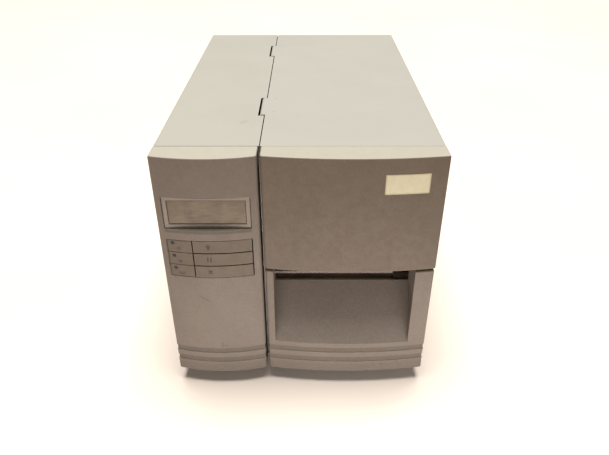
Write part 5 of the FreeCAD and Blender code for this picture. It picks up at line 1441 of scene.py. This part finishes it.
@dataclass
class RearSockets(SubAssembly):
    """Mains inlet, power rocker and data sockets on the back."""

    black: SmoothPlastic = SmoothPlastic("socket_black", (0.018, 0.018, 0.019), 0.32)
    shell: Metal = Metal("socket_shell", (0.60, 0.60, 0.59), Axis.Z, 0.3)
    gold: Metal = Metal("contact_gold", (0.75, 0.56, 0.24), Axis.Y, 0.25, tarnish=(0.4, 0.3, 0.16))
    white: PrintInk = PrintInk("rocker_print", (0.75, 0.75, 0.72), (0.5, 0.5, 0.48))
    inlet_flange: float = 3 * MM
    pin_places: tuple[Pair, ...] = ((-7 * MM, -3 * MM), (0.0, 1 * MM), (7 * MM, -3 * MM))
    pin_size: Pair = (2 * MM, 4 * MM)
    pin_end: float = 2 * MM
    sleeve: float = 0.06 * MM
    sleeve_length: float = 15.8 * MM
    sleeve_over: float = 0.3 * MM
    sleeve_chamfer: float = 0.35 * MM
    socket_half: float = 6.5 * MM
    tongue_half: float = 3.1 * MM
    contact_count: int = 18
    contact_pitch: float = 2.5 * MM
    contact_width: float = 0.9 * MM
    contact_bite: float = 0.3 * MM
    contact_ends: Pair = (4.9 * MM, 0.9 * MM)
    contact_chamfer: float = 0.1 * MM
    way_rows: tuple[tuple[int, int], ...] = ((-1, 5), (1, 4))
    way_pitch: float = 2.74 * MM
    way_side: float = 1.42 * MM
    way_depth: float = 1 * MM
    way_radius: float = 0.62 * MM
    way_line: float = 0.34 * MM
    rocker_rest: float = -8.0
    rocker_depth: float = 1.2 * MM
    rocker_face: tuple[Pair, Pair] = ((1.2 * MM, 0.0), (3 * MM, 10.5 * MM))
    off_ring: Pair = (1.7 * MM, 0.5 * MM)
    on_bar: Pair = (0.55 * MM, 3.6 * MM)

    def finishes(self) -> dict[Finish, tuple[str, ...]]:
        """Names of the sockets' nodes that take each finish."""
        sockets = ("power_inlet", "rocker_frame", "power_rocker")
        return {self.black: sockets, self.shell: ("serial_port", "parallel_port")}

    def build(self, paints: Paintbox) -> None:
        """Add the pins, contacts and the rocker's two plain signs.

        Args:
            paints: Where the finishes come from.
        """
        shell, gold = paints.of(self.shell), paints.of(self.gold)
        add_piece("inlet_pins", self.inlet_pins(), shell, "chassis")
        add_piece("parallel_contacts", self.parallel_contacts(), gold, "chassis")
        add_piece("serial_contacts", self.serial_ways(), gold, "chassis")
        add_piece("rocker_signs", self.rocker_signs(), paints.of(self.white), "rocker")

    def inlet_pins(self) -> Skin:
        """Metal sleeves over the inlet's three pins.

        Returns:
            The three sleeves as one surface.
        """
        low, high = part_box("power_inlet")
        x, z = (low.x + high.x) / 2, (low.z + high.z) / 2
        back = high.y - self.inlet_flange
        w, h = (size / 2 + self.sleeve for size in self.pin_size)
        skins = []
        for dx, dz in self.pin_places:
            start = (x + dx - w, back - self.sleeve_length, z + dz - h)
            end = (x + dx + w, back - self.pin_end + self.sleeve_over, z + dz + h)
            skins.append(block_skin(start, end, self.sleeve_chamfer))
        return Skin.joined(skins)

    def parallel_contacts(self) -> Skin:
        """Two rows of strips on the parallel socket's tongue.

        Returns:
            All the strips as one surface.
        """
        _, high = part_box("parallel_port")
        x, z = self.socket_middle("parallel_port")
        back, front = (high.y - depth for depth in self.contact_ends)
        bite, half = self.contact_bite, self.contact_width / 2
        skins = []
        for face in (x - self.tongue_half, x + self.tongue_half):
            for middle in z + centred(self.contact_count, self.contact_pitch):
                start = (face - bite, back, middle - half)
                skins.append(block_skin(start, (face + bite, front, middle + half), self.contact_chamfer))
        return Skin.joined(skins)

    def serial_ways(self) -> Skin:
        """Nine round contacts on the serial socket's face.

        Returns:
            All the contacts as one surface.
        """
        _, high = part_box("serial_port")
        x, z = self.socket_middle("serial_port")
        place = (0.0, high.y - self.way_depth, 0.0)
        face = FlatFace(place, across=(1.0, 0.0, 0.0), up=(0.0, 0.0, 1.0), out=(0.0, 1.0, 0.0))
        prints = SignPrint(face.wrap)
        return Skin.joined(
            prints.hoop((x + side * self.way_side, middle), self.way_radius, self.way_line)
            for side, count in self.way_rows
            for middle in z + centred(count, self.way_pitch)
        )

    def socket_middle(self, node: str) -> Pair:
        """Middle of a data socket in X and Z, which is its mount's place in the record."""
        low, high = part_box(node)
        return low.x + self.socket_half, (low.z + high.z) / 2

    def rocker_signs(self) -> Skin:
        """Bar and ring on the rocker's two slanted faces.

        Each face's ends are turned about the pivot to the rocker's rest, and the sign lies at their middle.

        Returns:
            Both signs as one surface.
        """
        low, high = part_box("power_rocker")
        frame_low, frame_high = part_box("rocker_frame")
        x = (low.x + high.x) / 2
        centre = np.array([frame_high.y - self.rocker_depth, (frame_low.z + frame_high.z) / 2])
        turn = math.radians(self.rocker_rest)
        spin = np.array([[math.cos(turn), -math.sin(turn)], [math.sin(turn), math.cos(turn)]])
        prints = []
        for side in (-1, 1):
            ends = (np.array(self.rocker_face) * (1, side)) @ spin.T + centre
            run_y, run_z = (ends[1] - ends[0]) / np.linalg.norm(ends[1] - ends[0])
            place = (x, *ends.mean(axis=0))
            out = (0.0, abs(run_z), -run_y * np.sign(run_z))
            face = FlatFace(place, across=(1.0, 0.0, 0.0), up=(0.0, run_y, run_z), out=out)
            prints.append(SignPrint(face.wrap))
        ring = prints[0].hoop((0.0, 0.0), *self.off_ring)
        return Skin.joined([ring, prints[1].bar((0.0, 0.0), *self.on_bar)])


@dataclass
class PrintMechanism(SubAssembly):
    """What lies under the media cover and behind the left cover."""

    shafts: Metal = Metal("ground_steel", (0.66, 0.66, 0.66), Axis.X, 0.22, 0.1 * MM, tarnish_share=0.15)
    # Dark frame paint on the hinge brackets and outboard plate: a black frame, and painted shade that keeps
    # the hinge notches and the slot's end dark.
    frame_paint: PaintedSheet = PaintedSheet(
        "frame_paint", (0.1, 0.092, 0.084), worn=(0.22, 0.21, 0.2), speck=(0.02, 0.02, 0.02)
    )
    plate: Metal = Metal("plated_sheet", (0.60, 0.60, 0.575), Axis.X, 0.34)
    tear: SmoothPlastic = SmoothPlastic("tear_bar_grey", (0.36, 0.30, 0.27), 0.62)
    bush: Metal = Metal("sintered_bronze", (0.50, 0.36, 0.18), Axis.X, 0.45, tarnish=(0.24, 0.16, 0.08))
    spring: Metal = Metal("spring_wire", (0.50, 0.50, 0.50), Axis.X, 0.3)
    sink: Metal = Metal("black_anodised", (0.07, 0.07, 0.075), Axis.X, 0.5, 0.22 * MM, (0.1, 0.095, 0.09))
    ceramic: SmoothPlastic = SmoothPlastic("head_ceramic", (0.70, 0.66, 0.57), 0.22, dust_share=0.0)
    acetal: SmoothPlastic = SmoothPlastic("gear_acetal", (0.74, 0.71, 0.62), 0.42)
    spindle: SmoothPlastic = SmoothPlastic("spindle_plastic", (0.045, 0.045, 0.05), 0.42)
    guide: SmoothPlastic = SmoothPlastic("guide_plastic", (0.075, 0.08, 0.09), 0.46)
    lever: SmoothPlastic = SmoothPlastic("lever_plastic", (0.04, 0.20, 0.235), 0.28)
    sensor: SmoothPlastic = SmoothPlastic("sensor_plastic", (0.02, 0.02, 0.022), 0.4)
    motor: SmoothPlastic = SmoothPlastic("motor_black", (0.025, 0.025, 0.027), 0.38)
    platen: SoftRubber = SoftRubber("platen_rubber", (0.035, 0.035, 0.038), (0.09, 0.09, 0.092), 0.62)
    belt: SoftRubber = SoftRubber("belt_rubber", (0.025, 0.025, 0.025))
    main_board: CircuitBoard = CircuitBoard("main_board_green", (0.02, 0.13, 0.06))
    key_board: CircuitBoard = CircuitBoard("key_board_green", (0.02, 0.13, 0.06), face=Axis.Y)
    board_sheet: float = 1.7 * MM

    def finishes(self) -> dict[Finish, tuple[str, ...]]:
        """Names of the mechanism's nodes that take each finish.

        Returns:
            Names by finish, each board with the plane of its component side.
        """
        _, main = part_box("main_board")
        _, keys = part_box("panel_board")
        shafts = ("cross_rods", "platen_shaft", "idler_shaft", "pillars", "head_pivot_shaft", "lever_shaft")
        return {
            self.shafts: shafts,
            self.plate: ("head_bracket", "media_path_plate", "motor_bracket", "power_supply"),
            self.tear: ("tear_bar",),
            self.frame_paint: ("outboard_plate", "hinge_brackets"),
            self.bush: ("platen_bushes", "spindle_bushes", "motor_pinion"),
            self.spring: ("brake_spring",),
            self.sink: ("head_heat_sink",),
            self.ceramic: ("thermal_head",),
            self.acetal: ("platen_gear", "idler_gear", "rewind_pulley", "brake_nut"),
            self.spindle: ("rewind_spindle", "supply_spindle", "guide_roller"),
            self.guide: ("media_edge_guide", "media_hanger", "roll_guide"),
            self.lever: ("head_lever",),
            self.sensor: ("gap_sensor",),
            self.motor: ("stepper_motor",),
            self.platen: ("platen_rubber",),
            self.belt: ("drive_belt",),
            replace(self.main_board, plane=main.x - self.board_sheet): ("main_board",),
            replace(self.key_board, plane=keys.y - self.board_sheet): ("panel_board",),
        }


@dataclass
class Fasteners(SubAssembly):
    """Cross-head screws on the centre wall, the outboard plate, the hanger and the feet."""

    radius: float = 3.4 * MM
    height: float = 2.0 * MM
    dome_fall: float = 0.45
    ring_shares: tuple[float, ...] = (0.08, 0.13, 0.2, 0.35, 0.5, 0.58, 0.62, 0.72, 0.84, 0.93, 1.0)
    turns: int = 40
    slot_half: float = 0.45 * MM
    slot_lip: float = 1.4
    slot_slope: float = 0.8
    slot_reach: float = 2.0 * MM
    slot_end: float = 0.1
    slot_depth: float = 1.1 * MM
    wall_places: tuple[Pair, ...] = (
        (-63.65 * MM, 43.32 * MM),
        (-135.65 * MM, 43.32 * MM),
        (-63.65 * MM, 129.32 * MM),
        (-99.65 * MM, 129.32 * MM),
        (-11.9 * MM, 104.0 * MM),
        (180.3 * MM, 104.0 * MM),
        (-11.9 * MM, 221.0 * MM),
        (180.3 * MM, 221.0 * MM),
    )
    plate_places: tuple[Pair, ...] = (
        (-160.9 * MM, 166.0 * MM),
        (-71.9 * MM, 144.0 * MM),
        (-56.9 * MM, 111.0 * MM),
        (-114.9 * MM, 108.0 * MM),
    )
    plate_foot: Pair = (-140.0 * MM, -62.0 * MM)
    plate_foot_out: float = 8.0 * MM
    sheet: float = 2.0 * MM
    hanger_middle: Pair = (88.1 * MM, 144.0 * MM)
    hanger_corner: float = 18.0 * MM
    hanger_flange: float = 3.0 * MM
    foot_recess: float = 5.0 * MM
    foot_radius: float = 12.0 * MM
    finish: Metal = Metal("pan_screw_zinc", (0.66, 0.655, 0.62), Axis.Y, 0.26, 0.1 * MM)

    def screw(self, place: Point, axis: Axis, side: int) -> Skin:
        """Domed head with a cross cut in it.

        The height at radius r is H (1 - fall (r/R)^4), less the cut's depth near the cross's lines.

        Args:
            place: Middle of the head's underside.
            axis: Direction that the head faces.
            side: One towards the axis, minus one away from it.

        Returns:
            The head as a closed surface.
        """
        r = np.array(self.ring_shares)[:, None] * self.radius
        u, v = (r * part for part in circle(self.turns).T)
        dome = self.height * (1 - self.dome_fall * (r / self.radius) ** 4)
        across = np.minimum(np.abs(u), np.abs(v))
        cut = np.clip((self.slot_half * self.slot_lip - across) / (self.slot_half * self.slot_slope), 0, 1)
        cut = cut * np.clip((self.slot_reach - r) / (self.slot_end * self.radius), 0, 1)
        h = np.concatenate([dome - self.slot_depth * cut, np.zeros((1, self.turns))])
        u, v = (np.concatenate([part, part[-1:]]) for part in (u, v))
        parts = (h * side, u, v)
        rings = np.stack([parts[(turn - axis.value) % 3] for turn in range(3)], axis=-1) + place
        foot, top = np.array(place), np.array(place)
        top[axis.value] += side * (self.height - self.slot_depth)
        return capped_skin(rings, top, foot)

    def build(self, paints: Paintbox) -> None:
        """Put every screw in its place.

        Args:
            paints: Where the finishes come from.
        """
        _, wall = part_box("centre_wall")
        plate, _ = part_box("outboard_plate")
        low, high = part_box("rubber_feet")
        face, flange = plate.x + self.sheet, wall.x + self.hanger_flange
        y, z = self.hanger_middle
        c, edge = self.hanger_corner, self.foot_radius
        sides = [(wall.x, *spot) for spot in self.wall_places]
        sides += [(face, *spot) for spot in self.plate_places]
        sides += [(flange, y + a * c, z + b * c) for a in (-1, 1) for b in (-1, 1)]
        tops = [(face + self.plate_foot_out, spot, plate.z + self.sheet) for spot in self.plate_foot]
        corners = [(x, y) for x in (low.x + edge, high.x - edge) for y in (low.y + edge, high.y - edge)]
        skins = [self.screw(place, Axis.X, 1) for place in sides]
        skins += [self.screw(place, Axis.Z, 1) for place in tops]
        skins += [self.screw((*corner, self.foot_recess), Axis.Z, -1) for corner in corners]
        add_piece("pan_screws", Skin.joined(skins), paints.of(self.finish), "chassis")


# Studio


@dataclass(frozen=True)
class SoftLamp:
    """Oblong soft lamp: where it hangs, what it looks at, its face, power and colour."""

    name: str
    place: Point
    aim: Point
    size: Pair
    power: float
    colour: Colour


def facing(place: Point, forward: np.ndarray, roll: float) -> Matrix:
    """Place and turn of a lamp or camera that looks along a direction.

    Args:
        place: Where it stands.
        forward: Direction of view, of length one.
        roll: Turn about that direction, in degrees.

    Returns:
        World matrix whose -Z looks forward.
    """
    right = np.cross(forward, (0.0, 0.0, 1.0))
    right = right / np.linalg.norm(right)
    up = np.cross(right, forward)
    turn = math.radians(roll)
    across = math.cos(turn) * right + math.sin(turn) * up
    above = -math.sin(turn) * right + math.cos(turn) * up
    columns = np.stack([across, above, -forward, place], axis=-1)
    return Matrix(np.vstack([columns, (0, 0, 0, 1)]).tolist())


@dataclass
class Studio:
    """Pale floor, soft light from above with a low fill in front, and the camera."""

    floor_radius: float = 4.0
    floor_turns: int = 128
    floor_finish: PaleFloor = PaleFloor("pale_floor", (0.68, 0.605, 0.54))
    room: Colour = (1.0, 0.74, 0.52)
    room_strength: float = 0.1
    backdrop: Colour = (0.93, 0.86, 0.79)
    lamps: tuple[SoftLamp, ...] = (
        SoftLamp("key_lamp", (0.0, 0.35, 8.0), (0.0, 0.0, 0.12), (4.7, 4.7), 1350.0, (1.0, 0.98, 0.94)),
        SoftLamp("fill_lamp", (0.03, -0.40, 0.05), (0.0, -0.2, 0.0), (0.5, 0.1), 0.53, (0.97, 0.985, 1.0)),
    )
    camera_place: Point = (0.00583, -0.63184, 0.45931)
    pitch: float = 32.163
    yaw: float = -0.216
    roll: float = -0.12
    lens: float = 34.19
    sensor: float = 36.0

    def floor(self, material: bpy.types.Material) -> None:
        """Lay a round level floor.

        Args:
            material: Finish of the floor.
        """
        rim = np.pad(circle(self.floor_turns) * self.floor_radius, ((0, 0), (0, 1)))
        mesh = bpy.data.meshes.new("floor")
        mesh.from_pydata(rim.tolist(), [], [tuple(range(self.floor_turns))])
        mesh.materials.append(material)
        floor = bpy.data.objects.new("floor", mesh)
        bpy.context.scene.collection.objects.link(floor)

    def soft_room(self) -> None:
        """World whose light is dim and warm, seen as a pale backdrop behind the floor."""
        world = bpy.data.worlds.new("soft_room")
        world.use_nodes = True
        tree = world.node_tree
        light = tree.nodes["Background"]
        light.inputs["Color"].default_value = (*self.room, 1.0)
        light.inputs["Strength"].default_value = self.room_strength
        seen = tree.nodes.new("ShaderNodeBackground")
        seen.inputs["Color"].default_value = (*self.backdrop, 1.0)
        choice = tree.nodes.new("ShaderNodeMixShader")
        path = tree.nodes.new("ShaderNodeLightPath")
        tree.links.new(path.outputs["Is Camera Ray"], choice.inputs["Fac"])
        tree.links.new(light.outputs["Background"], choice.inputs[1])
        tree.links.new(seen.outputs["Background"], choice.inputs[2])
        tree.links.new(choice.outputs["Shader"], tree.nodes["World Output"].inputs["Surface"])
        bpy.context.scene.world = world

    def hang(self, lamp: SoftLamp) -> None:
        """Hang one lamp.

        Args:
            lamp: The lamp.
        """
        data = bpy.data.lights.new(lamp.name, "AREA")
        data.shape = "RECTANGLE"
        data.size, data.size_y = lamp.size
        data.energy = lamp.power
        data.color = lamp.colour
        hung = bpy.data.objects.new(lamp.name, data)
        forward = np.subtract(lamp.aim, lamp.place)
        hung.matrix_world = facing(lamp.place, forward / np.linalg.norm(forward), 0.0)
        hung.visible_camera = False
        bpy.context.scene.collection.objects.link(hung)

    def camera(self) -> None:
        """Stand the camera at the viewing angle, looking down by the pitch and aside by the yaw."""
        data = bpy.data.cameras.new("camera")
        data.sensor_fit = "HORIZONTAL"
        data.sensor_width = self.sensor
        data.lens = self.lens
        camera = bpy.data.objects.new("camera", data)
        pitch, yaw = math.radians(self.pitch), math.radians(self.yaw)
        level = math.cos(pitch)
        forward = np.array([math.sin(yaw) * level, math.cos(yaw) * level, -math.sin(pitch)])
        camera.matrix_world = facing(self.camera_place, forward, self.roll)
        bpy.context.scene.collection.objects.link(camera)
        bpy.context.scene.camera = camera

    def build(self, paints: Paintbox) -> None:
        """Make floor, light and camera.

        Args:
            paints: Where the floor's finish comes from.
        """
        self.floor(paints.of(self.floor_finish))
        self.soft_room()
        for lamp in self.lamps:
            self.hang(lamp)
        self.camera()
        bpy.context.scene.view_settings.view_transform = "Standard"


def clear_scene() -> None:
    """Take out whatever the file opened with."""
    for item in list(bpy.data.objects):
        bpy.data.objects.remove(item)


def main() -> None:
    """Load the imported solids, dress them, add the small pieces and set the studio."""
    logging.basicConfig(level=logging.INFO, format="%(name)s: %(message)s")
    clear_scene()
    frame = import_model()
    paints = Paintbox(frame)
    parts = (CaseDress(), ControlPanel(), CoverDress(), RearSockets(), PrintMechanism(), Fasteners())
    for part in parts:
        for finish, nodes in part.finishes().items():
            paints.dress(finish, nodes)
    for part in parts:
        part.build(paints)
    Studio().build(paints)
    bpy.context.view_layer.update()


if __name__ == "__main__":
    main()
